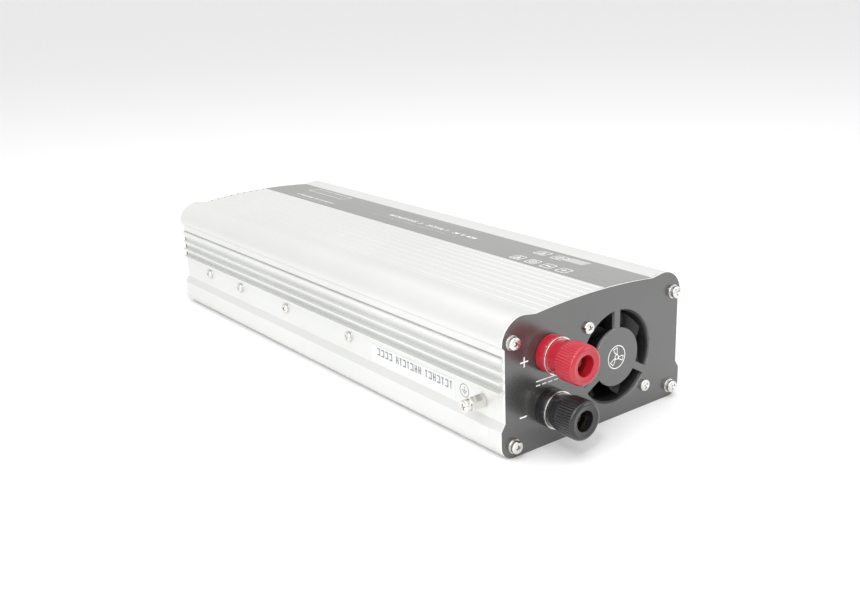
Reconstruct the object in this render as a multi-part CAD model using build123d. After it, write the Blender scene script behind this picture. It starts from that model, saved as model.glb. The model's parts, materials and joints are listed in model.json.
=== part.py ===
from build123d import *
import math
import os

# Power inverter in millimetres. X runs across, Y along the case from the DC end (-Y) to the AC end (+Y),
# Z up. The origin is the middle of the underside.

# case extrusions
LENGTH = 400.0            # length of the two extruded shells
WIDTH = 150.0             # over the feet
HEIGHT = 85.0             # to the crown
WALL = 2.0
FOOT_STEP = 3.0           # feet stand out from the side walls
FOOT_HEIGHT = 18.0
FOOT_SLANT = 4.5
FOOT_RADIUS = 9.0
SHOULDER_RADIUS = 15.4
SHOULDER_BULGE = 1.9      # shoulders stand out from the side walls
SHOULDER_LIP = 1.7
SHOULDER_END_DEG = 98.0    # the shoulder arc runs a little past its top
CROWN_OVER_SHOULDER = 1.3
VALLEY_RUN = 10.0         # shoulder centre to valley, inwards
CROWN_RISE = 2.6          # crown above the valleys
SEAM_BELOW_SHOULDER = 4.7
SEAM_GAP = 0.3
TONGUE = 1.5
TONGUE_HEIGHT = 4.0
TONGUE_ROOT = 6.5
TONGUE_CLEARANCE = 0.05
TOOTH_DROPS = (0.0, 7.5, 13.7, 19.9)     # roots of the ledges, below the seam
TOOTH_DEPTHS = (1.4, 2.1, 2.7, 2.9)
TOOTH_FACES = (2.6, 1.3, 1.3, 1.3)       # upright face at the edge of each ledge
TOOTH_FALL = 0.6          # ledges slope down to their edges
TOOTH_RETURN = 0.7        # height in which an edge runs back to the side wall
TOOTH_INSET = 0.8         # the wall between two ledges leans in by this much
GROOVE_COUNT = 9
GROOVE_PITCH = 6.18
GROOVE_FROM_VALLEY = 4.0
GROOVE_RADIUS = 1.5
GROOVE_DEPTH = 0.4

# end panels and their screws
PANEL = 2.0
BOSS_RADIUS = 3.6
BOSS_WEB = 3.0
SCREW_INSET_TOP = 5.0     # from the side wall face
SCREW_DROP_TOP = 15.0     # below the crown
SCREW_INSET_LOW = 6.0
SCREW_RISE_LOW = 7.5
M4_RADIUS = 1.9
M4_HOLE_CLEARANCE = 0.2
THREAD_CLEARANCE = 0.05
PAN_RADIUS = 3.9
PAN_HEIGHT = 2.7
PAN_DOME = 1.3
CROSS_WIDTH = 1.0
CROSS_SPAN = 4.4
CROSS_DEPTH = 1.5
FLAT_WASHER_RADIUS = 4.4
FLAT_WASHER = 0.8
SPRING_WASHER_RADIUS = 3.6
SPRING_WASHER = 1.1
SPRING_WASHER_GAP = 0.8
CORNER_SCREW_LENGTH = 14.0

# fan behind the DC end panel
FAN_SIZE = 60.0
FAN_DEPTH = 25.0
FAN_HOLE_PITCH = 50.0
FAN_BORE_RADIUS = 28.5
FAN_FROM_WALL = 54.5      # fan axis to the +X side wall face
FAN_DROP = 3.2            # fan axis below mid-height of the cavity
FAN_CORNER_RADIUS = 4.0
FAN_BLADES = 7
FAN_TIP_GAP = 0.7
FAN_HUB_RADIUS = 14.5
FAN_HUB_WALL = 1.5
FAN_HUB_SETBACK = 1.8
FAN_BASE = 3.0
FAN_BASE_GAP = 2.0
FAN_STRUT = 4.0
FAN_STRUTS_DEG = (30, 150, 270)
FAN_PITCH_DEG = 38.0
BLADE_CHORD_SHARE = 0.9   # of the hub depth along the pitched blade
BLADE = 1.3
STATOR_GAP = 1.2
SHAFT_RADIUS = 1.5
SHAFT_CLEARANCE = 0.05
BEARING_WALL = 2.0
GRILLE_RADIUS = 29.75
GRILLE_DISC_RADIUS = 18.25
GRILLE_SPOKE = 4.6
GRILLE_SPOKES_DEG = (90, 210, 330)
FAN_SCREW_LENGTH = 31.0
NUT_FLATS = 7.0
NUT = 3.2

# binding posts
POST_FROM_WALL = 34.0     # post axes to the -X side wall face
POST_MID_DROP = 2.4       # midway between the posts, below mid-height of the cavity
POST_PITCH = 33.0
POST_RADIUS = 11.5
COLLAR = 7.0
CLAMP_WASHER = 1.0
STUD_RADIUS = 4.0
STUD_OUT = 21.0           # stud end beyond the panel face
STUD_IN = 21.0            # stud end behind the panel's inner face
MERGE = 1.0               # overlap that fuses two shapes of one piece
BANANA_RADIUS = 2.0
BANANA_DEPTH = 15.0
KNOB_RADIUS = 11.9
KNOB_NECK_RADIUS = 10.7
KNOB_NECK = 8.0
KNOB_STEP = 0.8
KNOB_LENGTH = 21.2
KNOB_NOSE_ROUND = 2.5
KNOB_NOSE_STEPS = 6
KNOB_MOUTH_RADIUS = 6.2
KNOB_MOUTH_DEPTH = 10.0
INSERT_RADIUS = 7.2
INSERT_LENGTH = 9.0
INSERT_SETBACK = 1.0
INSERT_CLEARANCE = 0.06
SPIGOT_RADIUS = 6.0
SPIGOT_CLEARANCE = 0.1
BUSH_RADIUS = 9.0
BUSH = 4.0
POST_NUT_FLATS = 13.0
POST_NUT = 5.0
POST_SPRING_RADIUS = 6.8
POST_SPRING = 1.8
LUG = 2.0
LUG_RADIUS = 7.5
LUG_DROP = 14.0           # lug barrel axis from the stud axis
LUG_BARREL_RADIUS = 5.2
LUG_BARREL = 14.0
LUG_BARREL_START = 1.0
LEAD_RADIUS = 4.0
LEAD_STRAIGHT = 6.0
LEAD_CLEARANCE = 0.05
LEAD_BEND_SHARE = 0.98    # of the lead's drop to the board

# ground terminal on the -X side wall
GROUND_FROM_PANEL = 19.5
LUG_CRIMP = 0.3           # the wire runs this far into its lug
GROUND_RISE = 31.0
STANDOFF_FLATS = 8.0
STANDOFF = 10.0
GROUND_SCREW_LENGTH = 22.0
GROUND_LUG = 0.8

# side screws clamp the transistors to the side walls
SIDE_SCREW_RISE = 33.0
SIDE_SCREWS_FROM_END = (245.6, 163.0, 94.0, 42.0)    # from the AC end of the shells
SIDE_HEAD_RADIUS = 3.7
SIDE_HEAD_HEIGHT = 2.5
PAD = 0.3
PAD_HEIGHT = 17.0
DEVICE = (4.5, 10.0, 15.0)    # thickness, width, height of a transistor body
LEG = (0.6, 0.8)
LEG_PITCH = 2.54
DEVICES_PER_BAR = (5, 3)
DEVICE_SCREW_GAP = 4.0
BAR = (5.0, 9.0)              # thickness, height
BAR_OVERHANG = 10.0
SIDE_SCREW_LENGTH = 11.0

# board
BOARD = 1.6
BOARD_RISE = 10.0             # board underside above the case floor
BOARD_SIDE_GAP = 1.0
BOARD_END_GAP = 33.0
BOARD_POST_RADIUS = 3.5
BOARD_POST_INSET = 17.0
BOARD_POST_END = 14.0
BOARD_POST_MID = 20.0         # middle posts from mid-board
BOARD_HEAD_RADIUS = 3.0
BOARD_HEAD = 2.0
M3_RADIUS = 1.45
CORE = (38.0, 44.0, 44.0)
CORE_LEG = 9.0
CORE_BACK = 10.0
WINDING_ROUND = 3.5
WINDING_GAP = 0.5
CORE_GAP = 8.0
CORE_FROM_CANS = 61.0         # middle of the transformers from the row of small cans
INPUT_CAN = (8.0, 34.0)
INPUT_CAN_COUNT = 6
INPUT_CAN_PITCH = 18.0
INPUT_CAN_FROM_END = 58.0
BULK_CAN = (15.0, 42.0)
BULK_CAN_PITCH = 34.0
BULK_CAN_FROM_END = 85.0      # from the AC end of the board
CAN_ROUND = 1.0
CHOKE_RADIUS = 19.0
CHOKE_BORE = 8.0
CHOKE_WIDTH = 16.0
CHOKE_X = -26.0
CHOKE_FROM_END = 34.0
FUSE = (5.2, 19.0, 18.0)
FUSE_COUNT = 6
FUSE_PITCH = 9.5
FUSE_X = -10.0                # first fuse
FUSE_FROM_END = 22.0
FUSE_BASE = 8.0
CONTROL = (92.0, 34.0)
CONTROL_FROM_END = 119.0      # from the AC end of the board
CHIP = (12.0, 7.0, 2.0)
CHIP_COUNT = 5
CHIP_ROWS = (0.65, 0.35)     # share of the control board's height
TERMINAL_RADIUS = 6.0
TERMINAL = 6.0

# AC end panel
OUTLET_X = (-43.0, 5.0)
OUTLET_RISE = 42.0
OUTLET_FLANGE = 43.0
OUTLET_FLANGE_THICK = 2.6
OUTLET_BODY = 35.0
OUTLET_DEPTH = 26.0
OUTLET_FACE_RADIUS = 17.0
OUTLET_FACE = 1.4
OUTLET_ROUND = 3.0
PIN_SPAN = 9.5
PIN_RADIUS = 2.6
PIN_SLOT = (7.4, 2.4)
PIN_DEPTH = 16.0
PIN_RAISE = 2.0               # line and neutral above the outlet's middle
PANEL_FIT = 0.15
CONTACT = (6.0, 10.0, 4.0)
SWITCH_X = 51.0
SWITCH_RISE = 54.0
SWITCH_FLANGE = (15.0, 21.0)
SWITCH_BODY = (12.8, 18.8)
SWITCH_OPENING = (10.4, 16.4)
SWITCH_DEPTH = 14.0
SWITCH_FLANGE_THICK = 1.6
ROCKER = (9.8, 15.0)
ROCKER_TILT_DEG = 10.0
ROCKER_TRAVEL_DEG = 20.0
ROCKER_PIN_RADIUS = 1.2
ROCKER_PIN_CLEARANCE = 0.05
ROCKER_PIVOT_DEPTH = 2.0
ROCKER_CREST = 4.6
ROCKER_DISH = 1.2
BLADE_TERMINAL = (0.8, 6.3, 8.0)
BLADE_SPAN = 4.0              # from the middle of the switch
SWITCH_ROUND = 1.2
SWITCH_FLOOR = 2.0
ROCKER_PIN_INSET = 0.5        # each pin socket stops inside the housing wall
ROCKER_PIN_END = 0.2
ROCKER_HEEL = ((-2.0, 0.55), (1.2, 1.0), (-3.2, 0.0))    # (y, share of half the height)
USB_X = 51.0
USB_RISE = 27.0
USB_MOUTH = (12.6, 5.4)
USB_SHELL = 1.0
USB_DEPTH = 14.0
USB_TONGUE = (11.0, 1.8, 9.0)
USB_TONGUE_RAISE = 1.0
USB_PROUD = 0.4
LAMP_RADIUS = 2.5
LAMP_DOME = 1.6
LAMP_DEPTH = 6.0
LAMP_X = (33.0, 33.0)
LAMP_RISE = (60.0, 48.0)
AC_LEAD_RADIUS = 1.5
EARTH_LEAD_RADIUS = 1.0
AC_LEAD_BEND_SHARE = 0.9      # of the straight run behind an outlet
AC_LEAD_BACK = 4.5            # leads rise this far inside the board's end
AC_LEAD_SPREAD = 4.0
AC_LEAD_BEND = 9.0

# labels
LABEL = 0.2
LABEL_FROM_CENTRE = 8.3
LABEL_MARGIN = 0.3
STICKER = 0.15
STICKER_FROM_END = (42.5, 128.0)     # from the DC end of the shells
STICKER_RISE = (24.0, 36.0)
TAG_FROM_END = (9.0, 16.0)
TAG_RISE = (12.0, 17.5)

# places worked out from the sizes above
FOOT_X = WIDTH / 2
WALL_X = FOOT_X - FOOT_STEP
WALL_IN = WALL_X - WALL
SHOULDER_X = WALL_X + SHOULDER_BULGE - SHOULDER_RADIUS
SHOULDER_Z = HEIGHT - CROWN_OVER_SHOULDER - SHOULDER_RADIUS
SEAM_Z = SHOULDER_Z - SHOULDER_LIP - SEAM_BELOW_SHOULDER
VALLEY_X = SHOULDER_X - VALLEY_RUN
VALLEY_Z = HEIGHT - CROWN_RISE
CROWN_RADIUS = (VALLEY_X ** 2 + CROWN_RISE ** 2) / (2 * CROWN_RISE)
CAVITY_MID = HEIGHT / 2
DC_IN = -LENGTH / 2                    # inner face of the DC end panel
DC_OUT = DC_IN - PANEL
AC_IN = LENGTH / 2
AC_OUT = AC_IN + PANEL
FAN_X = WALL_X - FAN_FROM_WALL
FAN_Z = CAVITY_MID - FAN_DROP
POST_X = POST_FROM_WALL - WALL_X
POST_ZS = [CAVITY_MID - POST_MID_DROP + side * POST_PITCH / 2 for side in (1, -1)]
FAN_BACK = DC_IN + FAN_DEPTH
GROUND_Y = DC_OUT + GROUND_FROM_PANEL
STICKER_SPAN = [DC_IN + distance for distance in STICKER_FROM_END]
TAG_SPAN = [DC_IN + distance for distance in TAG_FROM_END]
BOARD_Z = WALL + BOARD_RISE
BOARD_TOP = BOARD_Z + BOARD
BOARD_X = WALL_IN - BOARD_SIDE_GAP
BOARD_Y0 = DC_IN + BOARD_END_GAP
BOARD_Y1 = AC_IN - BOARD_END_GAP
BOARD_MID_Y = (BOARD_Y0 + BOARD_Y1) / 2
CORNERS = [(side * (WALL_X - SCREW_INSET_TOP), HEIGHT - SCREW_DROP_TOP) for side in (-1, 1)]
CORNERS += [(side * (WALL_X - SCREW_INSET_LOW), SCREW_RISE_LOW) for side in (-1, 1)]
INPUT_CAN_Y = BOARD_Y0 + INPUT_CAN_FROM_END
CORE_ROW_Y = INPUT_CAN_Y + CORE_FROM_CANS
CONTROL_Y = BOARD_Y1 - CONTROL_FROM_END
BULK_CAN_Y = BOARD_Y1 - BULK_CAN_FROM_END
SIDE_SCREWS_Y = [AC_IN - distance for distance in SIDE_SCREWS_FROM_END]


# ---------------------------------------------------------------- shape helpers

def prism(sketch, y0, y1):
    """A section drawn in X and Z, carried from y0 to y1 along Y."""
    plane = Plane(origin=(0, y1, 0), x_dir=(1, 0, 0), z_dir=(0, -1, 0))
    return extrude(plane * sketch, amount=y1 - y0, dir=(0, -1, 0))


def rod(x, z, radius, y0, y1):
    return prism(Pos(x, z) * Circle(radius), y0, y1)


def ring(x, z, outer, inner, y0, y1):
    return prism(Pos(x, z) * (Circle(outer) - Circle(inner)), y0, y1)


def turned(profile, x, z):
    """A closed outline of (radius, y) points turned about a line parallel to Y."""
    return Pos(x, 0, z) * revolve(make_face(Polyline(*profile, close=True)), axis=Axis.Y)


def block(x0, x1, y0, y1, z0, z1):
    return Pos((x0 + x1) / 2, (y0 + y1) / 2, (z0 + z1) / 2) * Box(x1 - x0, y1 - y0, z1 - z0)


def stand(x, y, radius, z0, z1):
    return Pos(x, y, (z0 + z1) / 2) * Cylinder(radius, z1 - z0)


def hexagon(flats):
    return RegularPolygon(flats / 2, 6, major_radius=False)


def group(parts):
    """Several separate solids kept in one node."""
    return Compound(children=[solid for part in parts for solid in part.solids()])


def crown_z(x):
    """Height of the crowned top at x."""
    return HEIGHT - CROWN_RADIUS + math.sqrt(CROWN_RADIUS ** 2 - x ** 2)


# ---------------------------------------------------------------- case section

def section(inset):
    """The case outline in X and Z, drawn inset from the outer faces."""
    wall = WALL_X - inset
    foot = FOOT_X - inset
    corner = FOOT_RADIUS - inset
    centre = FOOT_X - FOOT_RADIUS
    shoulder = SHOULDER_RADIUS - inset
    end = math.radians(SHOULDER_END_DEG)
    top = (SHOULDER_X + shoulder * math.cos(end), SHOULDER_Z + shoulder * math.sin(end))
    mid = math.radians(45)
    half = [
        Line((0, inset), (centre, inset)),
        ThreePointArc((centre, inset),
                      (centre + corner * math.cos(mid), FOOT_RADIUS - corner * math.sin(mid)),
                      (foot, FOOT_RADIUS)),
        Line((foot, FOOT_RADIUS), (foot, FOOT_HEIGHT)),
        Line((foot, FOOT_HEIGHT), (wall, FOOT_HEIGHT + FOOT_SLANT)),
        Line((wall, FOOT_HEIGHT + FOOT_SLANT), (wall, SHOULDER_Z - SHOULDER_LIP)),
        Line((wall, SHOULDER_Z - SHOULDER_LIP), (SHOULDER_X + shoulder, SHOULDER_Z)),
        ThreePointArc((SHOULDER_X + shoulder, SHOULDER_Z),
                      (SHOULDER_X + shoulder * math.cos(mid), SHOULDER_Z + shoulder * math.sin(mid)),
                      top),
        Line(top, (VALLEY_X, VALLEY_Z - inset)),
        ThreePointArc((VALLEY_X, VALLEY_Z - inset),
                      (VALLEY_X / 2, crown_z(VALLEY_X / 2) - inset),
                      (0, HEIGHT - inset)),
    ]
    curve = Curve() + half
    return make_face(curve + mirror(curve, about=Plane.YZ))


def band(z0, z1):
    return Pos(0, (z0 + z1) / 2) * Rectangle(2 * WIDTH, z1 - z0)


def boss(x, z, web_x, web_z):
    """A screw channel tied to the wall by one straight web."""
    web = Pos((x + web_x) / 2, (z + web_z) / 2) * Rectangle(abs(web_x - x) + BOSS_WEB,
                                                           abs(web_z - z) + BOSS_WEB)
    return Pos(x, z) * Circle(BOSS_RADIUS) + web


def screw_channels(shell, outline, corners, web):
    for x, z in corners:
        shell += boss(x, z, *web(x, z)) & outline
    for x, z in corners:
        shell -= Pos(x, z) * Circle(M4_RADIUS + THREAD_CLEARANCE)
    return shell


def tooth(index):
    """One ridge of the side wall: a sloping ledge, an upright edge, a short return, then a lean inwards."""
    seam = SEAM_Z - SEAM_GAP
    top = seam - TOOTH_DROPS[index]
    outer = top - TOOTH_FALL
    lower = outer - TOOTH_FACES[index]
    tip = WALL_X + TOOTH_DEPTHS[index]
    root = WALL_X - TOOTH_INSET
    back = root - WALL / 2
    corners = [(back, top), (root, top), (tip, outer), (tip, lower), (WALL_X, lower - TOOTH_RETURN)]
    if index + 1 < len(TOOTH_DROPS):
        corners += [(root, seam - TOOTH_DROPS[index + 1]), (back, seam - TOOTH_DROPS[index + 1])]
    else:
        corners += [(back, lower - TOOTH_RETURN)]
    return Polygon(*corners, align=None)


def top_cover():
    outline = section(0)
    shell = (outline - section(WALL)) & band(SEAM_Z, 2 * HEIGHT)
    shell = screw_channels(shell, outline & band(SEAM_Z, 2 * HEIGHT), CORNERS[:2],
                           lambda x, z: (math.copysign(WALL_X, x), z))
    for index in range(GROOVE_COUNT):
        x = GROOVE_FROM_VALLEY - VALLEY_X + index * GROOVE_PITCH
        shell -= Pos(x, crown_z(x) + GROOVE_RADIUS - GROOVE_DEPTH) * Circle(GROOVE_RADIUS)
    return prism(shell, DC_IN, AC_IN)


def lower_case():
    outline = section(0) & band(-WALL, SEAM_Z - SEAM_GAP)
    shell = outline - section(WALL)
    root = WALL_IN - TONGUE_CLEARANCE
    for side in (-1, 1):
        top = SEAM_Z + TONGUE_HEIGHT
        low = SEAM_Z - SEAM_GAP - TONGUE_ROOT
        shell += Pos(side * (root - TONGUE / 2), (top + low) / 2) * Rectangle(TONGUE, top - low)
        shell += (Pos(side * (WALL_IN - TONGUE / 2), (SEAM_Z - SEAM_GAP + low) / 2)
                  * Rectangle(TONGUE + WALL, SEAM_Z - SEAM_GAP - low))
    shell = screw_channels(shell, outline, CORNERS[2:], lambda x, z: (x, WALL / 2))
    low = SEAM_Z - SEAM_GAP - TOOTH_DROPS[-1] - TOOTH_FALL - TOOTH_FACES[-1] - TOOTH_RETURN
    for side in (-1, 1):
        shell -= Pos(side * WALL_X, (SEAM_Z + low) / 2) * Rectangle(2 * TOOTH_INSET, SEAM_Z - low)
    body = prism(shell, DC_IN, AC_IN)
    for index in range(len(TOOTH_DEPTHS)):
        ridge = prism(tooth(index), DC_IN, AC_IN)
        body += ridge + mirror(ridge, about=Plane.YZ)
    hole = M4_RADIUS + THREAD_CLEARANCE
    for y in SIDE_SCREWS_Y:
        body -= Pos(0, y, SIDE_SCREW_RISE) * Rot(0, 90, 0) * Cylinder(hole, 2 * WIDTH)
    body -= (Pos(-WALL_X, GROUND_Y, GROUND_RISE) * Rot(0, 90, 0) * Cylinder(hole, 4 * WALL))
    return body


def top_label():
    x0 = LABEL_FROM_CENTRE
    x1 = VALLEY_X - LABEL_MARGIN
    xm = (x0 + x1) / 2
    low = [(x, crown_z(x)) for x in (x0, xm, x1)]
    high = [(x, z + LABEL) for x, z in low]
    edges = Curve() + [ThreePointArc(*low), ThreePointArc(*high),
                       Line(low[0], high[0]), Line(low[2], high[2])]
    return prism(make_face(edges), DC_IN, AC_IN)


def sticker(face_x, span, rise):
    """A thin label on the -X side, on the face at face_x."""
    return block(-face_x - STICKER, -face_x, *span, *rise)


# ---------------------------------------------------------------- fasteners, drawn along -Z from a face at z = 0

def pan_screw(radius, head_radius, head, length, cross=True):
    """Pan head above z = 0, shank below it."""
    dome = min(PAN_DOME, head / 2)
    shape = Pos(0, 0, head / 2) * Cylinder(head_radius, head)
    shape = fillet(shape.edges().group_by(Axis.Z)[-1], dome)
    shape += Pos(0, 0, -length / 2) * Cylinder(radius, length)
    if cross:
        for turn in (0, 90):
            shape -= (Pos(0, 0, head - CROSS_DEPTH / 2) * Rot(0, 0, turn)
                      * Box(CROSS_SPAN, CROSS_WIDTH, CROSS_DEPTH))
    return shape


def washer(outer, inner, thick):
    return Pos(0, 0, thick / 2) * (Cylinder(outer, thick) - Cylinder(inner, thick))


def spring_washer(outer, inner, thick):
    return washer(outer, inner, thick) - Pos(outer, 0, thick / 2) * Box(2 * outer - inner,
                                                                      SPRING_WASHER_GAP, 2 * thick)


def nut(flats, bore, thick):
    return extrude(hexagon(flats) - Circle(bore), amount=thick)


def at_dc(x, z, y=DC_OUT):
    """Stands a fastener drawn along Z on a face that looks to -Y."""
    return Pos(x, y, z) * Rot(90, 0, 0)


def at_ac(x, z, y=AC_OUT):
    return Pos(x, y, z) * Rot(-90, 0, 0)


def corner_fasteners():
    stack = FLAT_WASHER + SPRING_WASHER
    bore = M4_RADIUS + M4_HOLE_CLEARANCE
    screws, springs, flats = [], [], []
    for place in (at_dc, at_ac):
        for x, z in CORNERS:
            here = place(x, z)
            flats.append(here * washer(FLAT_WASHER_RADIUS, bore, FLAT_WASHER))
            springs.append(here * Pos(0, 0, FLAT_WASHER)
                           * spring_washer(SPRING_WASHER_RADIUS, bore, SPRING_WASHER))
            screws.append(here * Pos(0, 0, stack)
                          * pan_screw(M4_RADIUS, PAN_RADIUS, PAN_HEIGHT, CORNER_SCREW_LENGTH))
    return {"corner_screws": group(screws), "corner_spring_washers": group(springs),
            "corner_flat_washers": group(flats)}


def side_screws():
    screws = []
    for side in (-1, 1):
        for y in SIDE_SCREWS_Y:
            place = Pos(side * WALL_X, y, SIDE_SCREW_RISE) * Rot(0, 90 * side, 0)
            screws.append(place * pan_screw(M4_RADIUS, SIDE_HEAD_RADIUS, SIDE_HEAD_HEIGHT,
                                            SIDE_SCREW_LENGTH))
    return group(screws)


def ground_terminal():
    wall = Pos(-WALL_X, GROUND_Y, GROUND_RISE) * Rot(0, -90, 0)
    inside = Pos(-WALL_IN, GROUND_Y, GROUND_RISE) * Rot(0, 90, 0)
    bore = M4_RADIUS + THREAD_CLEARANCE
    stack = STANDOFF + FLAT_WASHER + SPRING_WASHER
    head = pan_screw(M4_RADIUS, PAN_RADIUS, PAN_HEIGHT, GROUND_SCREW_LENGTH)
    nut_end = inside * Pos(0, 0, NUT)
    lug = washer(FLAT_WASHER_RADIUS, bore, GROUND_LUG)
    lug_x = -WALL_IN + NUT + GROUND_LUG / 2
    foot = BOARD_TOP + AC_LEAD_RADIUS
    route = [(lug_x, GROUND_Y, GROUND_RISE - FLAT_WASHER_RADIUS + LUG_CRIMP), (lug_x, GROUND_Y, foot),
             (lug_x, BOARD_Y0, foot)]
    return {
        "ground_standoff": wall * nut(STANDOFF_FLATS, bore, STANDOFF),
        "ground_washers": group([
            wall * Pos(0, 0, STANDOFF) * washer(FLAT_WASHER_RADIUS, bore, FLAT_WASHER),
            wall * Pos(0, 0, STANDOFF + FLAT_WASHER)
            * spring_washer(SPRING_WASHER_RADIUS, bore, SPRING_WASHER)]),
        "ground_screw": wall * Pos(0, 0, stack) * head,
        "earth_lead": group([nut_end * lug + lead(route, EARTH_LEAD_RADIUS, AC_LEAD_BEND)]),
    }


def small_nuts():
    """The nuts behind the fan and on the ground terminal are the same size."""
    made = nut(NUT_FLATS, M4_RADIUS + THREAD_CLEARANCE, NUT)
    places = [at_ac(x, z, FAN_BACK) for x, z in fan_holes()]
    places.append(Pos(-WALL_IN, GROUND_Y, GROUND_RISE) * Rot(0, 90, 0))
    return group([place * made for place in places])


def lead(route, radius, bend):
    """A round wire along straight runs joined by arcs."""
    path = FilletPolyline(*route, radius=bend)
    start = Plane(origin=path @ 0, z_dir=path % 0)
    return sweep(start * Circle(radius), path=path)


# ---------------------------------------------------------------- end panels

def grille_windows():
    windows = Circle(GRILLE_RADIUS) - Circle(GRILLE_DISC_RADIUS)
    for angle in GRILLE_SPOKES_DEG:
        windows -= (Rot(0, 0, angle) * Pos(GRILLE_RADIUS / 2, 0)
                    * Rectangle(GRILLE_RADIUS + 2 * MERGE, GRILLE_SPOKE))
    return Pos(FAN_X, FAN_Z) * windows


def fan_holes():
    return [(FAN_X + a * FAN_HOLE_PITCH / 2, FAN_Z + b * FAN_HOLE_PITCH / 2) for a, b in ((-1, 1), (1, -1))]


def dc_end_panel():
    face = section(0)
    hole = M4_RADIUS + M4_HOLE_CLEARANCE
    for x, z in CORNERS + fan_holes():
        face -= Pos(x, z) * Circle(hole)
    for z in POST_ZS:
        face -= Pos(POST_X, z) * Circle(SPIGOT_RADIUS + SPIGOT_CLEARANCE)
    face -= grille_windows()
    return prism(face, DC_OUT, DC_IN)


def ac_end_panel():
    face = section(0)
    for x, z in CORNERS:
        face -= Pos(x, z) * Circle(M4_RADIUS + M4_HOLE_CLEARANCE)
    for x in OUTLET_X:
        side = OUTLET_BODY + 2 * PANEL_FIT
        face -= Pos(x, OUTLET_RISE) * RectangleRounded(side, side, OUTLET_ROUND)
    face -= Pos(SWITCH_X, SWITCH_RISE) * Rectangle(*[size + 2 * PANEL_FIT for size in SWITCH_BODY])
    usb = [size + 2 * USB_SHELL + 2 * PANEL_FIT for size in USB_MOUTH]
    face -= Pos(USB_X, USB_RISE) * Rectangle(*usb)
    for x, z in zip(LAMP_X, LAMP_RISE):
        face -= Pos(x, z) * Circle(LAMP_RADIUS + THREAD_CLEARANCE)
    return prism(face, AC_IN, AC_OUT)


# ---------------------------------------------------------------- fan

def fan():
    tip = FAN_BORE_RADIUS - FAN_TIP_GAP
    hub_front = DC_IN + FAN_HUB_SETBACK
    base_front = FAN_BACK - FAN_BASE
    hub_back = base_front - FAN_BASE_GAP
    hub_in = FAN_HUB_RADIUS - FAN_HUB_WALL
    bearing = SHAFT_RADIUS + SHAFT_CLEARANCE
    bearing_out = bearing + BEARING_WALL
    core_front = hub_front + FAN_HUB_WALL + STATOR_GAP

    frame = RectangleRounded(FAN_SIZE, FAN_SIZE, FAN_CORNER_RADIUS) - Circle(FAN_BORE_RADIUS)
    for a in (-1, 1):
        for b in (-1, 1):
            frame -= (Pos(a * FAN_HOLE_PITCH / 2, b * FAN_HOLE_PITCH / 2)
                      * Circle(M4_RADIUS + M4_HOLE_CLEARANCE))
    frame = prism(Pos(FAN_X, FAN_Z) * frame, DC_IN, FAN_BACK)
    base = Circle(hub_in) - Circle(bearing_out)
    reach = FAN_BORE_RADIUS + MERGE
    for angle in FAN_STRUTS_DEG:
        base += (Rot(0, 0, angle) * Pos((reach + hub_in - MERGE) / 2, 0)
                 * Rectangle(reach - hub_in + MERGE, FAN_STRUT))
    frame += prism(Pos(FAN_X, FAN_Z) * base, base_front, FAN_BACK)

    stator = ring(FAN_X, FAN_Z, hub_in - STATOR_GAP, bearing_out, core_front, base_front)
    sleeve = ring(FAN_X, FAN_Z, bearing_out, bearing, core_front, FAN_BACK)

    rotor = rod(FAN_X, FAN_Z, FAN_HUB_RADIUS, hub_front, hub_back)
    rotor -= rod(FAN_X, FAN_Z, hub_in, hub_front + FAN_HUB_WALL, hub_back)
    mid = (hub_front + hub_back) / 2
    chord = (hub_back - hub_front) / math.cos(math.radians(FAN_PITCH_DEG)) * BLADE_CHORD_SHARE
    trim = ring(FAN_X, FAN_Z, tip, FAN_HUB_RADIUS - FAN_HUB_WALL / 2, hub_front, hub_back)
    for index in range(FAN_BLADES):
        blade = (Pos((tip + hub_in) / 2, 0, 0) * Rot(FAN_PITCH_DEG, 0, 0)
                 * Box(tip - hub_in + 2 * MERGE, chord, BLADE))
        blade = Pos(FAN_X, mid, FAN_Z) * Rot(0, index * 360 / FAN_BLADES, 0) * blade
        rotor += blade & trim
    shaft = rod(FAN_X, FAN_Z, SHAFT_RADIUS, hub_front + FAN_HUB_WALL, FAN_BACK - FAN_BASE / 2)

    screws = [at_dc(x, z) * pan_screw(M4_RADIUS, PAN_RADIUS, PAN_HEIGHT, FAN_SCREW_LENGTH)
              for x, z in fan_holes()]
    return {"fan_frame": frame, "fan_stator": stator, "fan_bearing": sleeve, "fan_rotor": rotor,
            "fan_shaft": shaft, "fan_screws": group(screws)}


# ---------------------------------------------------------------- binding posts

def knob_body(z):
    """Neck, wider grip and rounded nose with an open mouth, turned about the post axis."""
    back = DC_OUT - COLLAR - CLAMP_WASHER
    front = back - KNOB_LENGTH
    bore = STUD_RADIUS + 2 * INSERT_CLEARANCE
    insert_back = back - INSERT_SETBACK
    insert_front = insert_back - INSERT_LENGTH
    profile = [
        (bore, back), (KNOB_NECK_RADIUS, back), (KNOB_NECK_RADIUS, back - KNOB_NECK),
        (KNOB_RADIUS, back - KNOB_NECK - KNOB_STEP), (KNOB_RADIUS, front + KNOB_NOSE_ROUND),
    ]
    for step in range(1, KNOB_NOSE_STEPS + 1):
        angle = math.radians(90 * step / KNOB_NOSE_STEPS)
        profile.append((KNOB_RADIUS - KNOB_NOSE_ROUND * (1 - math.cos(angle)),
                        front + KNOB_NOSE_ROUND * (1 - math.sin(angle))))
    profile += [
        (KNOB_MOUTH_RADIUS, front), (KNOB_MOUTH_RADIUS, insert_front),
        (INSERT_RADIUS, insert_front), (INSERT_RADIUS, insert_back), (bore, insert_back),
    ]
    return turned(profile, POST_X, z)


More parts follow.
